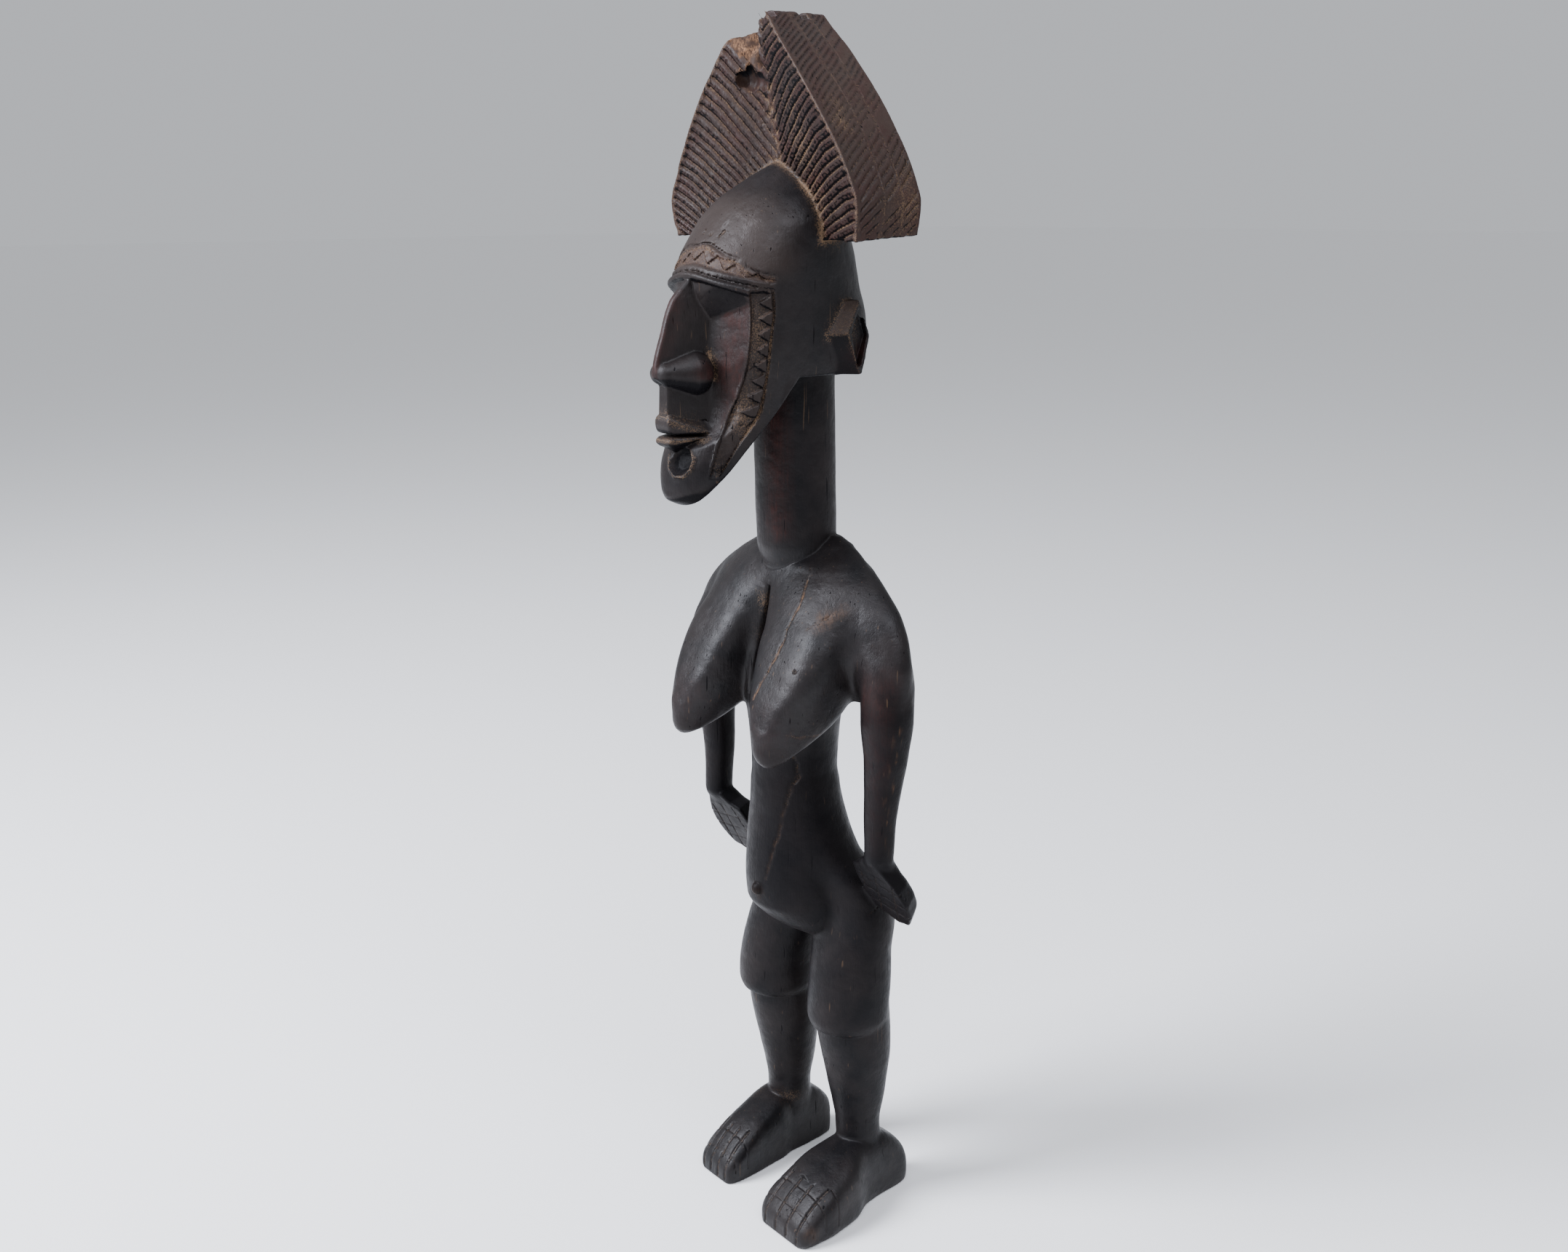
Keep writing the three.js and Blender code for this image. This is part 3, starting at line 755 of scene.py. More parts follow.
def toe_lines(x, y, z):
    """Toes parted by straight cuts, with two cross cuts and a nail line on each foot."""
    ax = np.abs(x)
    near = x > 0
    middle, width, tip = np.where(near, 45, 36), np.where(near, 25, 18.5), np.where(near, -68, -63)
    spread = (ax - middle) / width - 0.03 * (y - tip) / 30
    toe_width = 0.42
    toe = spread / toe_width + 0.5
    parting = off_whole(toe) * toe_width * width + 9 * (np.abs(spread) > 0.8)
    front = step(tip + 32 + 3 * wander(toe, y, 3) - y, 0, 3) * step(z, 1, 4)
    cross = np.min([np.abs(y - tip - back) for back in (7, 17, 28)], axis=0)
    cut = front * (notch(parting, 1.1, 1.5) + notch(cross + 9 * (z < 8), 0.8, 0.6))
    return cut * 0.9, cut * 0.22


# Cracks in the wood: their line seen from the front, half width and depth.
CRACKS = (
    ([(30.6, 433.6), (35.5, 421), (36.2, 411), (35.8, 402), (37.2, 395), (36, 385), (33.9, 376),
      (30.5, 369), (29.7, 360)], 1.0, 1.5),
    ([(20, 318), (22.5, 308), (21.8, 300), (17.5, 281), (15.2, 266), (12.5, 252), (8.1, 231)],
     1.7, 1.1),
    ([(50.3, 403), (59.1, 411.7)], 1.0, 0.7),
    ([(55.5, 343), (58, 338)], 0.9, 0.8),
)


def cracks(x, y, z):
    """Drying cracks and cuts on the chest and the belly."""
    shift = 0.5 * wander(z, y, 7) + 0.3 * wander(z, x, 3)
    depth = np.zeros(x.shape)
    for line, half_width, deep in CRACKS:
        depth = np.maximum(depth, notch(stroke(x + shift, z, line), half_width, deep))
    depth = depth * (y < -22) * (0.6 + 0.3 * wander(z, x, 10) + 0.3 * wander(z, y, 2.7))
    return depth, np.clip(depth * np.where(z > 340, 0.7, 0.45), 0, 1)


# Small holes: place and radius.
HOLES = (((53.6, -44, 692.6), 2.6), ((-61.2, -41, 655.4), 2.4), ((54.8, -61.7, 380.6), 1.7),
         ((-57, -41, 650), 1.8), ((77, -30, 601), 1.0))


def holes(x, y, z):
    """Wormholes in the crest and a lost knot on the near breast."""
    depth = np.zeros(x.shape)
    for centre, radius in HOLES:
        depth = np.maximum(depth, around(x, y, z, centre, radius, radius))
    return depth, depth * 0.2


def tool_marks(x, y, z):
    """The faint flats left by the adze."""
    return 0.16 + 0.16 * wander(x + 0.6 * y, z, 16), np.zeros(x.shape)


RELIEF = [
    (crest_ribs, CREST_FOOT - 5, CREST_TOP),
    (rim_cuts, CREST_FOOT - 5, CREST_TOP),
    (crest_back, CREST_FOOT - 5, CREST_TOP),
    (forehead_band, BROW - 12, BROW + 32),
    (cheek_band, 493, 603),
    (chin_mark, 490, 514),
    (cracks, 228, 436),
    (holes, 375, 700),
    (finger_lines, 205, 262),
    (toe_lines, 0, 30),
    (tool_marks, 0, CREST_TOP),
]


def relief(x, y, z):
    """Depth of all fine cuts, and the dust in them."""
    depth, dust = np.zeros(x.shape), np.zeros(x.shape)
    for cut, bottom, top in RELIEF:
        here = np.nonzero((z > bottom - 1) & (z < top + 1))[0]
        if len(here):
            deep, dust_and_highlight_share = cut(x[here], y[here], z[here])
            depth[here] += deep
            dust[here] = np.maximum(dust[here], dust_and_highlight_share)
    return depth, dust


def carved(x, y, z):
    """Distance from the finished surface."""
    total = bare(x, y, z)
    near = np.nonzero(np.abs(total) < 5)[0]
    if len(near):
        total[near] += relief(x[near], y[near], z[near])[0]
    if z.max() > 698:
        total = np.maximum(total, broken_tip(x, y, z))
    return total


def corner(first, second, width, amount):
    """How much has gathered where two surfaces meet, from the distance to each."""
    return notch(np.maximum(np.abs(first), np.abs(second)), width, amount)


def patches(x, y, z):
    return 0.5 + 0.5 * wander(x + y, z, 13)


def on_crest(x, y, z):
    """1 on the crest and 0 on the dome of the head in front of it."""
    return step(z, CREST_FOOT - 6, CREST_FOOT - 4) * step(HEAD[0](x, y, z), 0.3, 2)


def on_forehead_band(x, y, z):
    ax = np.abs(x)
    up = z - brow_level(np.minimum(ax, 45))
    return step(up, 5, 7) * step(17.2 - up - border_drop(ax), 0, 2) * step(-y, 62, 64.5)


def on_cheek_band(x, y, z):
    angle = face_angle(x, y)
    band = step(angle - inner_edge(z)[0], -2, 1) * step(z, 496, 510)
    return band * step(outer_edge(z)[0] - angle, -1, 1) * step(-y, 62, 64) * (z < 604)


def on_cheek(x, y, z, facing):
    """1 on the flat cheek inside the band, less towards the mouth."""
    cheek = span(z, 500, 530, 596, 600) * step(-y, 66, 72)
    cheek = cheek * step(np.abs(x), 15, 19) * step(inner_edge(z)[0] - face_angle(x, y), -1, 3)
    return cheek * step(facing[:, 2], -0.3, -0.2) * step(z, 500, 550)


def dust_and_lip_highlight(x, y, z):
    """Dust in the cuts and along the lines where one form meets another, pale lines along the ears'
    edges, and a painted highlight on the lower lip.
    """
    ax = np.abs(x)
    skull = HEAD[0](x, y, z)
    spots = patches(x, y, z)
    crest_line = corner(skull, crest(x, y, z), 5, 1.3) * (y < -8) * (0.35 + 0.5 * spots)
    wings = corner(nose(x, y, z), cheeks(ax, y, z), 2.6, 0.9) * (z > 548) * (z < 566)
    # Pale bands along the top of each lip: the one on the lower lip is a painted highlight.
    lips = np.maximum(notch(z - 515.5, 3, 0.6), notch(z - 533 + 0.9 * ax, 3.5, 0.5))
    lips = lips * (y < -92) * (ax < 18)
    planes = ear_planes(ax, y, z)
    ear_edge = notch(planes[-1] - planes[-2], 1.4, 0.6) * notch(planes[-1], 1.5, 1)
    ear_edge = ear_edge * (polygon(y, z, EAR_OUTLINE) < 2)
    ear_top = corner(ears(x, y, z), skull, 2.2, 0.6) * (z > 568) * (y > -34) * (y < 5)
    cleft = notch(x + 4, 6, 0.55) * spots * span(z, 345, 360, 412, 418) * (y < -30)
    ankle = notch(z - 44, 7, 0.8) * notch(y + 2, 22, 1) * (x < 0) * spots
    return np.maximum.reduce([relief(x, y, z)[1], crest_line, wings, lips, ear_edge, ear_top,
                              cleft, ankle])


def rubbed_skin(x, y, z, facing):
    """Where hands have rubbed the dark skin thin."""
    ax = np.abs(x)
    cheek = on_cheek(x, y, z, facing) * 0.7
    nose_ridge = step(600 - z, 0, 4) * step(-y, 95, 99) * step(3.2 - ax, 0, 1)
    nose_ridge = nose_ridge * step(z, 546, 556) * 0.9
    throat = notch(x - 9, 11, 1) * span(z, 446, 455, 537, 545) * (y < -25) * (y > -60)
    upper_arm = step(ax, 78, 84) * span(z, 262, 280, 374, 388)
    upper_arm = upper_arm * step(-facing[:, 1], 0.1, 0.6) * 0.4
    nipple = around(ax, y, z, (40, -70, 345), 24, 0.35)
    ear = step(-facing[:, 1], -0.2, 0.3) * step(ax, 40, 42) * notch(z - 560, 14, 1)
    ear = ear * step(y, -20, -12)
    crown = on_crest(x, y, z) * (0.25 + 0.5 * patches(x, y, z))
    return np.maximum.reduce([cheek, nose_ridge, throat, upper_arm, nipple, ear, crown,
                              on_forehead_band(x, y, z) * 0.3])


def toe_chip(x, y, z):
    return around(x, y, z, (67, -61, 9), 7, 0.7)


def bare_wood(x, y, z):
    """Where wood shows without its skin: the break, the cracks, a scar and small chips."""
    torn = on_crest(x, y, z) * (broken_tip(x, y, z) > -1.2) * step(z, 717, 722)
    torn = torn * (x < -3) * step(-x, 2, 12)
    torn = np.maximum(torn * 0.5, torn * step(34 + x, 2, 16))
    crack = cracks(x, y, z)[0] * step(z, 225, 240) * step(patches(x, y, z), 0.3, 0.8)
    crack = crack * np.where(z > 340, 0.5, 0.35)
    specks = (x > 90) * notch(y + 22, 4.5, 1) * step(wander(z, y * 3, 6), 0.5, 0.7)
    specks = specks * (z < 350) * 0.55
    scar = step(8.5 - np.hypot((x - 57) / 1.3, z - 409.5 - 0.3 * (x - 57)), 0, 4)
    scar = scar * (y < -20) * step(wander(x, z, 6), -0.5, 0.1) * 0.16
    navel_skin = notch(np.sqrt(x**2 + (z - 221) ** 2), 7, 0.7) * (y < -40) * 0.3
    return np.maximum.reduce([torn, crack, specks, scar, navel_skin, toe_chip(x, y, z) * 0.2])


def brown_skin(x, y, z, facing):
    """Where the skin is dry and brown, most of all on the sides of the crest, whose cuts are left
    dark as painted shade.
    """
    crown = on_crest(x, y, z)
    side = crown * step(np.abs(facing[:, 0]), 0.35, 0.6)
    # Painted shade: no brown in the rim's cuts, so they stay dark.
    side = side * (1 - 0.9 * np.clip(rim_cuts(x, y, z)[0] / 0.7, 0, 1))
    side = side * (0.65 + 0.35 * step(z, 650, 710))
    forehead = step(-y, 44, 66) * span(z, 602, 612, 648, 668) * (1 - crown)
    ear_front = step(np.abs(x), 37, 39) * step(facing[:, 2], 0.3, 0.4) * step(z, 548, 552)
    ear_front = ear_front * (z < 592) * (y < -10)
    face = step(z, 490, 520) * step(-y, 60, 70)
    return np.maximum.reduce([
        side, crown * 0.28, on_forehead_band(x, y, z) * 0.8, on_cheek_band(x, y, z) * 0.3,
        forehead * 0.4, ear_front * 0.8, face * 0.1, toe_chip(x, y, z) * 0.6])


def painted_shade_and_dull_skin(x, y, z, facing):
    """Painted shade on undersides, the legs and belly, the arms, the neck under the jaw and the
    hollow under the break; holes and the chin's hollow darker and duller; cheeks and chin duller.
    """
    # Painted shade under surfaces that face down.
    under = np.where(z > 470, step(-facing[:, 2], 0.1, 0.42), step(-facing[:, 2], 0.1, 0.6) * 0.6)
    under = under * step(z, 20, 60)
    # Painted shade on the legs and belly, the arms and the neck under the jaw.
    body = np.interp(z, (30, 50, 190, 230, 310, 345), (0, 0.6, 0.75, 0.88, 0.88, 0))
    arm = step(np.abs(x), 66, 76) * step(395 - z, 0, 40) * 0.82
    neck = span(z, 436, 446, 546, 550) * (y > -58) * 0.6
    chin = step(515 - z, 0, 15) * (z > 470) * (y < -58) * 0.5
    # Holes and the chin's hollow made darker and duller.
    pit = np.maximum(holes(x, y, z)[0], chin_mark(x, y, z)[0] * (z < 514)) / 2
    # Painted shade in the hollow under the break.
    hollow = (broken_tip(x, y, z) > -1.5) * (z < 718) * (z > 700) * (x < 3) * 0.7
    return np.maximum.reduce([under, body, arm, neck, chin, on_cheek(x, y, z, facing) * 0.65,
                              pit, hollow])


def weathering(x, y, z, facing):
    """How much dust, rubbing, bare wood, brown skin and painted shade there is at each point; the
    dust also holds a painted highlight on the lower lip.
    """
    found = {
        "dust": dust_and_lip_highlight(x, y, z),
        "worn": rubbed_skin(x, y, z, facing),
        "raw": bare_wood(x, y, z),
        "brown": brown_skin(x, y, z, facing),
        "painted_shade_and_dull": painted_shade_and_dull_skin(x, y, z, facing),
    }
    return {name: np.clip(amount, 0, 1).astype(np.float32) for name, amount in found.items()}


def sample(field, cell):
    """The field on a regular grid, worked out only in the blocks near the surface."""
    width = cell * BLOCK
    nx, ny, nz = [math.ceil((high - low) / width) for low, high in zip(LOWEST, HIGHEST)]
    grid = np.empty((nz * BLOCK + 1, ny * BLOCK + 1, nx * BLOCK + 1), np.float32)
    xs = LOWEST[0] + cell * np.arange(nx * BLOCK + 1)
    ys = LOWEST[1] + cell * np.arange(ny * BLOCK + 1)
    bx, by = np.meshgrid(xs[:-1:BLOCK] + width / 2, ys[:-1:BLOCK] + width / 2)
    for layer in range(nz):
        middle = LOWEST[2] + (layer + 0.5) * width
        coarse = field(bx.ravel(), by.ravel(), np.full(bx.size, middle)).reshape(bx.shape)
        wide = np.repeat(np.repeat(coarse, BLOCK, 0), BLOCK, 1)
        wide = np.pad(wide, ((0, 1), (0, 1)), mode="edge")
        close = np.abs(coarse) < width * 1.5 + 2
        near = np.pad(np.repeat(np.repeat(close, BLOCK, 0), BLOCK, 1), 1)
        iy, ix = np.nonzero(near[1:, 1:] | near[:-1, 1:] | near[1:, :-1] | near[:-1, :-1])
        last = layer == nz - 1
        levels = np.arange(layer * BLOCK, (layer + 1) * BLOCK + last)
        grid[levels] = wide
        if len(ix):
            z = np.repeat(LOWEST[2] + cell * levels, len(ix))
            values = field(np.tile(xs[ix], len(levels)), np.tile(ys[iy], len(levels)), z)
            grid[levels[:, None], iy, ix] = values.reshape(len(levels), -1)
    return grid


def surface_nets(grid, cell):
    """A vertex in each cell that the surface crosses, joined by quads across the crossed edges."""
    inside = grid < 0
    nz, ny, nx = inside.shape
    corners = list(np.ndindex(2, 2, 2))
    filled = np.zeros((nz - 1, ny - 1, nx - 1), np.uint8)
    for a, b, c in corners:
        filled += inside[a:nz - 1 + a, b:ny - 1 + b, c:nx - 1 + c]
    where = np.nonzero((filled > 0) & (filled < 8))
    number = np.full(filled.shape, -1, np.int32)
    number[where] = np.arange(len(where[0]))
    value = {end: grid[tuple(w + k for w, k in zip(where, end))] for end in corners}
    total = np.zeros((len(where[0]), 3))
    count = np.zeros(len(where[0]))
    for start in corners:
        for axis in range(3):
            if start[axis]:
                continue
            end = tuple(k + (i == axis) for i, k in enumerate(start))
            a, b = value[start], value[end]
            crossed = (a < 0) != (b < 0)
            along = np.where(crossed, a / np.where(crossed, a - b, 1), 0)
            total += crossed[:, None] * start
            total[:, axis] += along
            count += crossed
    place = total / count[:, None] + np.stack(where, -1)
    points = place[:, ::-1] * cell + LOWEST
    faces = []
    for axis in range(3):
        edges = np.argwhere(np.diff(inside, axis=axis))
        across = [i for i in range(3) if i != axis]
        ring = []
        for offset in ((0, 0), (1, 0), (1, 1), (0, 1)):
            cells = edges.copy()
            cells[:, across] -= offset
            ring.append(number[tuple(cells.T)])
        ring = np.stack(ring, -1)
        turned = inside[tuple(edges.T)] != (axis == 1)
        ring[turned] = ring[turned][:, ::-1]
        faces.append(ring)
    return points, np.concatenate(faces)


def slopes(field, points):
    """Which way the surface faces at each point, from the field just beside it."""
    reach = 0.45
    order = np.argsort(points[:, 2])
    facing = np.empty_like(points)
    for part in np.array_split(order, max(1, len(points) // 20000)):
        x, y, z = points[part].T
        facing[part, 0] = field(x + reach, y, z) - field(x - reach, y, z)
        facing[part, 1] = field(x, y + reach, z) - field(x, y - reach, z)
        facing[part, 2] = field(x, y, z + reach) - field(x, y, z - reach)
    return facing / np.maximum(np.linalg.norm(facing, axis=1), 1e-9)[:, None]


def put_in_scene(name, data):
    thing = bpy.data.objects.new(name, data)
    bpy.context.scene.collection.objects.link(thing)
    return thing


def read_points(mesh):
    flat = np.empty(len(mesh.vertices) * 3, np.float32)
    mesh.vertices.foreach_get("co", flat)
    return flat.reshape(-1, 3).astype(float)


def fewer_faces(mesh, triangles):
    """The mesh with its flatter parts merged into larger triangles."""
    carrier = put_in_scene("Carrier", mesh)
    reduce = carrier.modifiers.new("Reduce", "DECIMATE")
    reduce.ratio = min(1, triangles / (2 * len(mesh.polygons)))
    reduce.use_collapse_triangulate = True
    graph = bpy.context.evaluated_depsgraph_get()
    result = bpy.data.meshes.new_from_object(carrier.evaluated_get(graph))
    bpy.data.objects.remove(carrier)
    return result


def linear(hex_colour):
    """An sRGB hex colour as linear red, green, blue and a full alpha."""
    channels = [int(hex_colour[i:i + 2], 16) / 255 for i in (1, 3, 5)]
    bright = [c / 12.92 if c <= 0.04045 else ((c + 0.055) / 1.055) ** 2.4 for c in channels]
    return (*bright, 1.0)


def add(tree, kind, inputs=None, output=0, **settings):
    """Adds a shader node with its settings and inputs, and returns one of its outputs."""
    made = tree.nodes.new("ShaderNode" + kind)
    for name, value in settings.items():
        setattr(made, name, value)
    for name, value in (inputs or {}).items():
        if isinstance(value, bpy.types.NodeSocket):
            tree.links.new(value, made.inputs[name])
        else:
            made.inputs[name].default_value = value
    return made.outputs[output] if len(made.outputs) else made


def empty_material(name):
    """A material and its node tree with nothing in it."""
    material = bpy.data.materials.new(name)
    material.use_nodes = True
    material.node_tree.nodes.clear()
    return material, material.node_tree


def patinated_hardwood(wood):
    """Dense hardwood cut with an adze and knife, then darkened by oil and smoke and rubbed by hands.

    The eye sees a near-black satin skin with fine upright fibres, redder where it is rubbed,
    and pale dust caught in the cuts.
    """
    material, tree = empty_material("Patinated Hardwood")
    place = add(tree, "TexCoord", output="Object")
    # One unit is a millimetre from here on. Fibres run up the log, 20 times as long as wide.
    even = add(tree, "Mapping", {"Vector": place, "Scale": (1000, 1000, 1000)})
    upright = add(tree, "Mapping", {"Vector": place, "Scale": (1000, 1000, 50)})
    fibre, pores, check, cloud, fleck, grit = [
        add(tree, "TexNoise", {
            "Vector": way, "Scale": scale, "Detail": detail, "Roughness": harshness})
        for way, scale, detail, harshness in (
            (upright, 0.9, 4.0, 0.65),  # fibres, 1 mm across
            (upright, 2.2, 2.0, 0.5),  # pores, 0.5 mm across
            (upright, 0.55, 1.0, 0.5),  # checks, 2 mm across
            (even, 0.03, 4.0, 0.6),  # clouds of handling, 33 mm
            (even, 0.14, 3.0, 0.55),  # flecks, 7 mm
            (even, 1.3, 2.0, 0.6))]  # grit, 0.8 mm
    dusty, worn, raw, brown, painted_shade_and_dull = [
        add(tree, "Attribute", attribute_name=name, output="Fac")
        for name in ("dust", "worn", "raw", "brown", "painted_shade_and_dull")]
    cloudy, streak, splinter, patch, matt, speck, split, scratch = [
        add(tree, "MapRange", {
            "Value": noise, "From Min": low, "From Max": high, "To Min": start, "To Max": end})
        for noise, low, high, start, end in (
            (cloud, 0.35, 0.65, 0.0, 1.0),  # the skin's two tones
            (fibre, 0.3, 0.68, 0.0, 1.0),  # streaks of red heart
            (fibre, 0.38, 0.6, 0.0, 1.0),  # splinters in a break
            (fleck, 0.32, 0.62, 0.0, 1.0),  # patches of rubbing
            (fleck, 0.3, 0.7, 0.34, 0.5),  # satin and duller spots
            (grit, 0.35, 0.6, -0.35, 0.35),  # specks of dust
            (check, 0.7, 0.76, 0.0, 1.0),  # dark checks
            (check, 0.27, 0.21, 0.0, 0.25))]  # pale scratches

    # Rubbed places show the red heart of the wood in streaks along the fibre.
    rub = add(tree, "Math", {0: streak, 1: patch, 2: 0.25}, operation="MULTIPLY_ADD")
    rub = add(tree, "Math", {0: rub, 1: worn}, operation="MULTIPLY", use_clamp=True)
    # Dust lies thickest in the cuts and thins out in specks beside them; the same share paints a
    # highlight on the lower lip.
    dust_and_highlight_share = add(tree, "Math", {0: dusty, 1: speck}, operation="ADD")
    dust_and_highlight_share = add(tree, "MapRange", {
        "Value": dust_and_highlight_share, "From Min": 0.36, "From Max": 1.1, "To Min": 0.0, "To Max": 0.9})
    # Painted shade darkens what is marked dull, and fine upright checks are as dark.
    hidden = add(tree, "Math", {0: split, 1: painted_shade_and_dull}, operation="MAXIMUM")
    covered = add(tree, "MapRange", {"Value": hidden, "From Min": 0.7})
    drier = add(tree, "Math", {0: brown, 1: 0.9}, operation="MULTIPLY")
    torn = add(tree, "Math", {0: splinter, 1: patch}, operation="MULTIPLY")
    # A Mix node takes two colours at its inputs 6 and 7 and gives one at its output 2.
    broken = add(tree, "Mix", {0: torn, 6: wood.raw_dark, 7: wood.raw},
                 output=2, data_type="RGBA")
    skin = wood.dark
    for share, colour in (
            (cloudy, wood.light), (drier, wood.brown), (rub, wood.worn), (dust_and_highlight_share, wood.dust),
            (raw, broken), (scratch, wood.dust), (covered, wood.dark)):
        skin = add(tree, "Mix", {0: share, 6: skin, 7: colour}, output=2, data_type="RGBA")
    # Painted shade and the checks also lose gloss, so they reflect little light.
    gloss = add(tree, "MapRange", {"Value": hidden, "To Min": 0.2, "To Max": 0.04})
    for share, rougher in ((brown, 0.12), (dust_and_highlight_share, 0.4), (raw, 0.35)):
        matt = add(tree, "Math", {0: share, 1: rougher, 2: matt},
                   operation="MULTIPLY_ADD", use_clamp=True)

    rise = add(tree, "Math", {0: pores, 1: 0.5, 2: fibre}, operation="MULTIPLY_ADD")
    rise = add(tree, "Math", {0: rise, 1: split}, operation="SUBTRACT")
    fine = add(tree, "Bump", {"Height": rise, "Strength": 0.35, "Distance": 0.0004})
    uneven = add(tree, "Bump", {
        "Height": fleck, "Strength": 0.35, "Distance": 0.0015, "Normal": fine})
    shader = add(tree, "BsdfPrincipled", {
        "Base Color": skin, "Roughness": matt, "Normal": uneven, "IOR": 1.5,
        "Specular IOR Level": gloss})
    add(tree, "OutputMaterial", {"Surface": shader})
    return material


def pale_paper():
    """A sheet of matt paper, which gives the eye an even pale ground."""
    material, tree = empty_material("Pale Paper")
    place = add(tree, "TexCoord", output="Object")
    tooth = add(tree, "TexNoise", {"Vector": place, "Scale": 900.0, "Detail": 2.0})
    bump = add(tree, "Bump", {"Height": tooth, "Strength": 0.08, "Distance": 0.0002})
    shader = add(tree, "BsdfPrincipled", {
        "Base Color": linear("#FCFCFC"), "Roughness": 0.85, "Normal": bump})
    add(tree, "OutputMaterial", {"Surface": shader})
    return material


def soft_light(name, place, target, size, watts, colour):
    data = bpy.data.lights.new(name, "AREA")
    data.shape = "RECTANGLE"
    data.size, data.size_y = size
    data.energy = watts
    data.color = linear(colour)[:3]
    light = put_in_scene(name, data)
    light.location = place
    direction = Vector(target) - light.location
    light.rotation_euler = direction.to_track_quat("-Z", "Y").to_euler()


def wood_colour(name, description, hex_colour):
    return bpy.props.FloatVectorProperty(
        name=name, description=description, default=linear(hex_colour),
        size=4, min=0, max=1, subtype="COLOR")


class FigureSettings(bpy.types.PropertyGroup):
    cell: bpy.props.FloatProperty(
        name="Cell", description="Spacing at which the surface is found",
        default=0.001, min=0.0006, max=0.004, subtype="DISTANCE", unit="LENGTH")
    triangles: bpy.props.IntProperty(
        name="Triangles", description="Most triangles that the figure may have",
        default=190000, min=20000, max=198000)
    # The dark skin is also the colour painted as shade where the skin is marked dull.
    dark: wood_colour("Dark Skin", "Wood where oil and smoke lie thick", "#0D0C0E")
    light: wood_colour("Light Skin", "Wood where the dark skin is thin", "#1C1818")
    brown: wood_colour("Brown Skin", "Drier brown wood, as on the crest's rim", "#3A2D26")
    worn: wood_colour("Rubbed Wood", "Red wood where the skin is rubbed away", "#311A17")
    # The dust colour is also painted as a highlight on the lower lip.
    dust: wood_colour("Dust", "Dry earth caught in the cuts", "#66513D")
    raw: wood_colour("Broken Wood", "Bare wood inside a break or crack", "#8A684E")
    raw_dark: wood_colour("Aged Broken Wood", "Bare wood darkened with age", "#33231A")


class StageSettings(bpy.types.PropertyGroup):
    floor: bpy.props.FloatProperty(
        name="Floor", description="Width of the floor",
        default=60.0, min=2, max=200, subtype="DISTANCE", unit="LENGTH")
    daylight: bpy.props.FloatProperty(
        name="Daylight", description="Strength of the even light from all round",
        default=0.7, min=0, max=5)


class FIGURE_OT_carving(bpy.types.Operator):
    """Carves the figure over its solid and gives it its wood"""

    bl_idname = "figure.carving"
    bl_label = "Carve Figure"

    def execute(self, context):
        settings = context.scene.figure_settings
        cell = settings.cell * 1000 * 1
        points, faces = surface_nets(sample(carved, cell), cell)
        rough = bpy.data.meshes.new("Carving")
        rough.from_pydata(points, [], faces.tolist())
        mesh = fewer_faces(rough, settings.triangles)
        points = read_points(mesh)
        facing = slopes(carved, points)
        for name, amount in weathering(*points.T, facing).items():
            mesh.attributes.new(name, "FLOAT", "POINT").data.foreach_set("value", amount)
        placed = (points + (0, AXIS_Y, 0)) / 1000
        mesh.vertices.foreach_set("co", placed.ravel())
        mesh.shade_smooth()
        mesh.normals_split_custom_set_from_vertices(facing)
        mesh.materials.append(patinated_hardwood(settings))
        figure = put_in_scene("Carved_Figure", mesh)
        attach(figure, "root")
        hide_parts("figure")
        return {"FINISHED"}


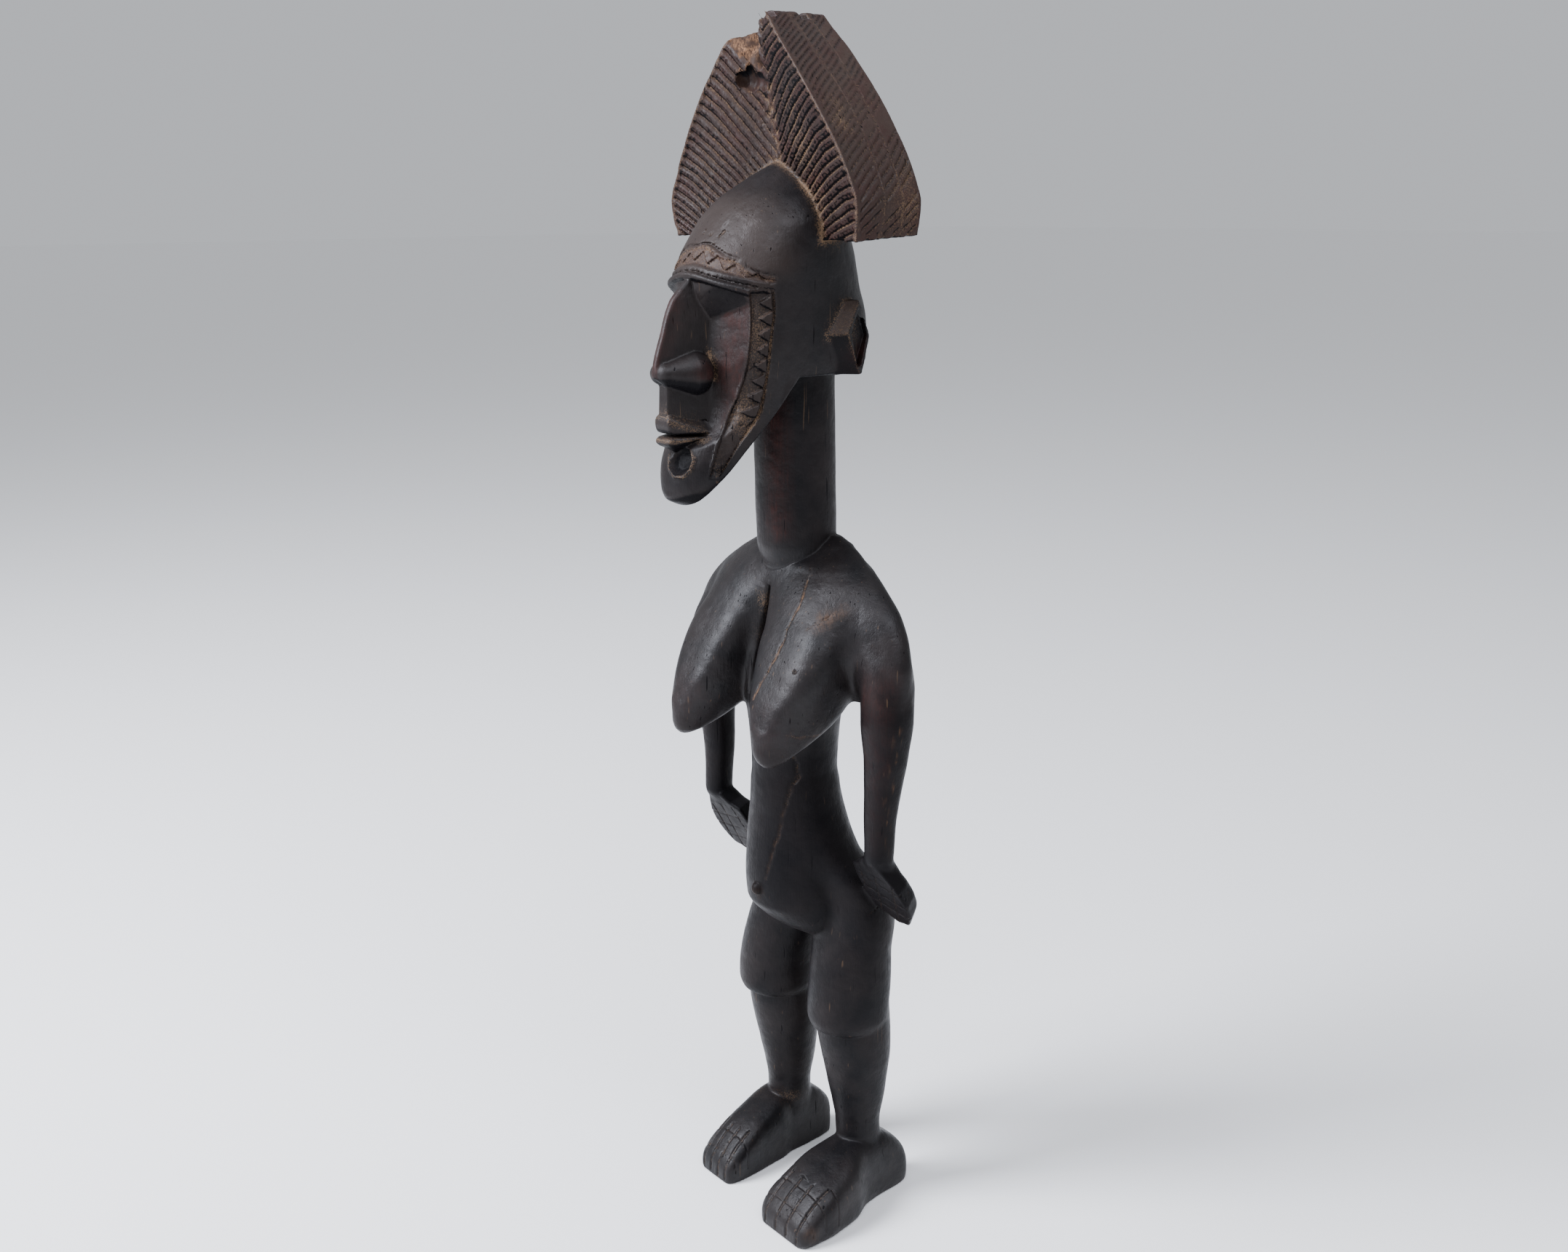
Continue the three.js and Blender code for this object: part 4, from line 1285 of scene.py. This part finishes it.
class FIGURE_OT_stage(bpy.types.Operator):
    """Lays the floor and sets the lights and the camera"""

    bl_idname = "figure.stage"
    bl_label = "Set Stage"

    def execute(self, context):
        settings = context.scene.stage_settings
        half = settings.floor / 2
        mesh = bpy.data.meshes.new("Floor")
        mesh.from_pydata([(-half, -half, 0), (half, -half, 0), (half, half, 0), (-half, half, 0)],
                         [], [(0, 1, 2, 3)])
        mesh.materials.append(pale_paper())
        floor = put_in_scene("Floor", mesh)

        world = bpy.data.worlds.new("Daylight")
        world.use_nodes = True
        sky = world.node_tree.nodes["Background"]
        sky.inputs["Color"].default_value = linear("#E9ECF2")
        sky.inputs["Strength"].default_value = settings.daylight
        context.scene.world = world
        chest = (0, 0, 0.45)
        soft_light("Window", (-0.75, -1.6, 1.75), chest, (0.9, 1.8), 150, "#F2F5FF")
        soft_light("Ceiling", (1.0, -0.35, 2.0), chest, (1.2, 1.2), 32, "#F1F4FF")

        data = bpy.data.cameras.new("Camera")
        data.sensor_width = SENSOR_WIDTH
        data.lens = SENSOR_WIDTH * FOCAL_LENGTH / PHOTO_WIDTH
        camera = put_in_scene("Camera", data)
        aside, down, roll = CAMERA_TURNS
        turn = (Matrix.Rotation(math.radians(aside), 4, "Z")
                @ Matrix.Rotation(math.radians(90 - down), 4, "X")
                @ Matrix.Rotation(math.radians(-roll), 4, "Z"))
        camera.matrix_world = Matrix.Translation(CAMERA_PLACE) @ turn
        context.scene.camera = camera
        return {"FINISHED"}


class FIGURE_PT_panel(bpy.types.Panel):
    bl_idname = "FIGURE_PT_panel"
    bl_label = "Carved Figure"
    bl_space_type = "VIEW_3D"
    bl_region_type = "UI"
    bl_category = "Figure"

    def draw(self, context):
        layout = self.layout
        for settings, operator in (
                (context.scene.figure_settings, FIGURE_OT_carving),
                (context.scene.stage_settings, FIGURE_OT_stage)):
            for name in settings.__annotations__:
                layout.prop(settings, name)
            layout.operator(operator.bl_idname)


CLASSES = (FigureSettings, StageSettings, FIGURE_OT_carving, FIGURE_OT_stage, FIGURE_PT_panel)


def register():
    for item in CLASSES:
        bpy.utils.register_class(item)
    bpy.types.Scene.figure_settings = bpy.props.PointerProperty(type=FigureSettings)
    bpy.types.Scene.stage_settings = bpy.props.PointerProperty(type=StageSettings)


def unregister():
    del bpy.types.Scene.stage_settings
    del bpy.types.Scene.figure_settings
    for item in reversed(CLASSES):
        bpy.utils.unregister_class(item)


def main():
    register()
    bpy.ops.figure.carving()
    bpy.ops.figure.stage()


if __name__ == "__main__":
    main()
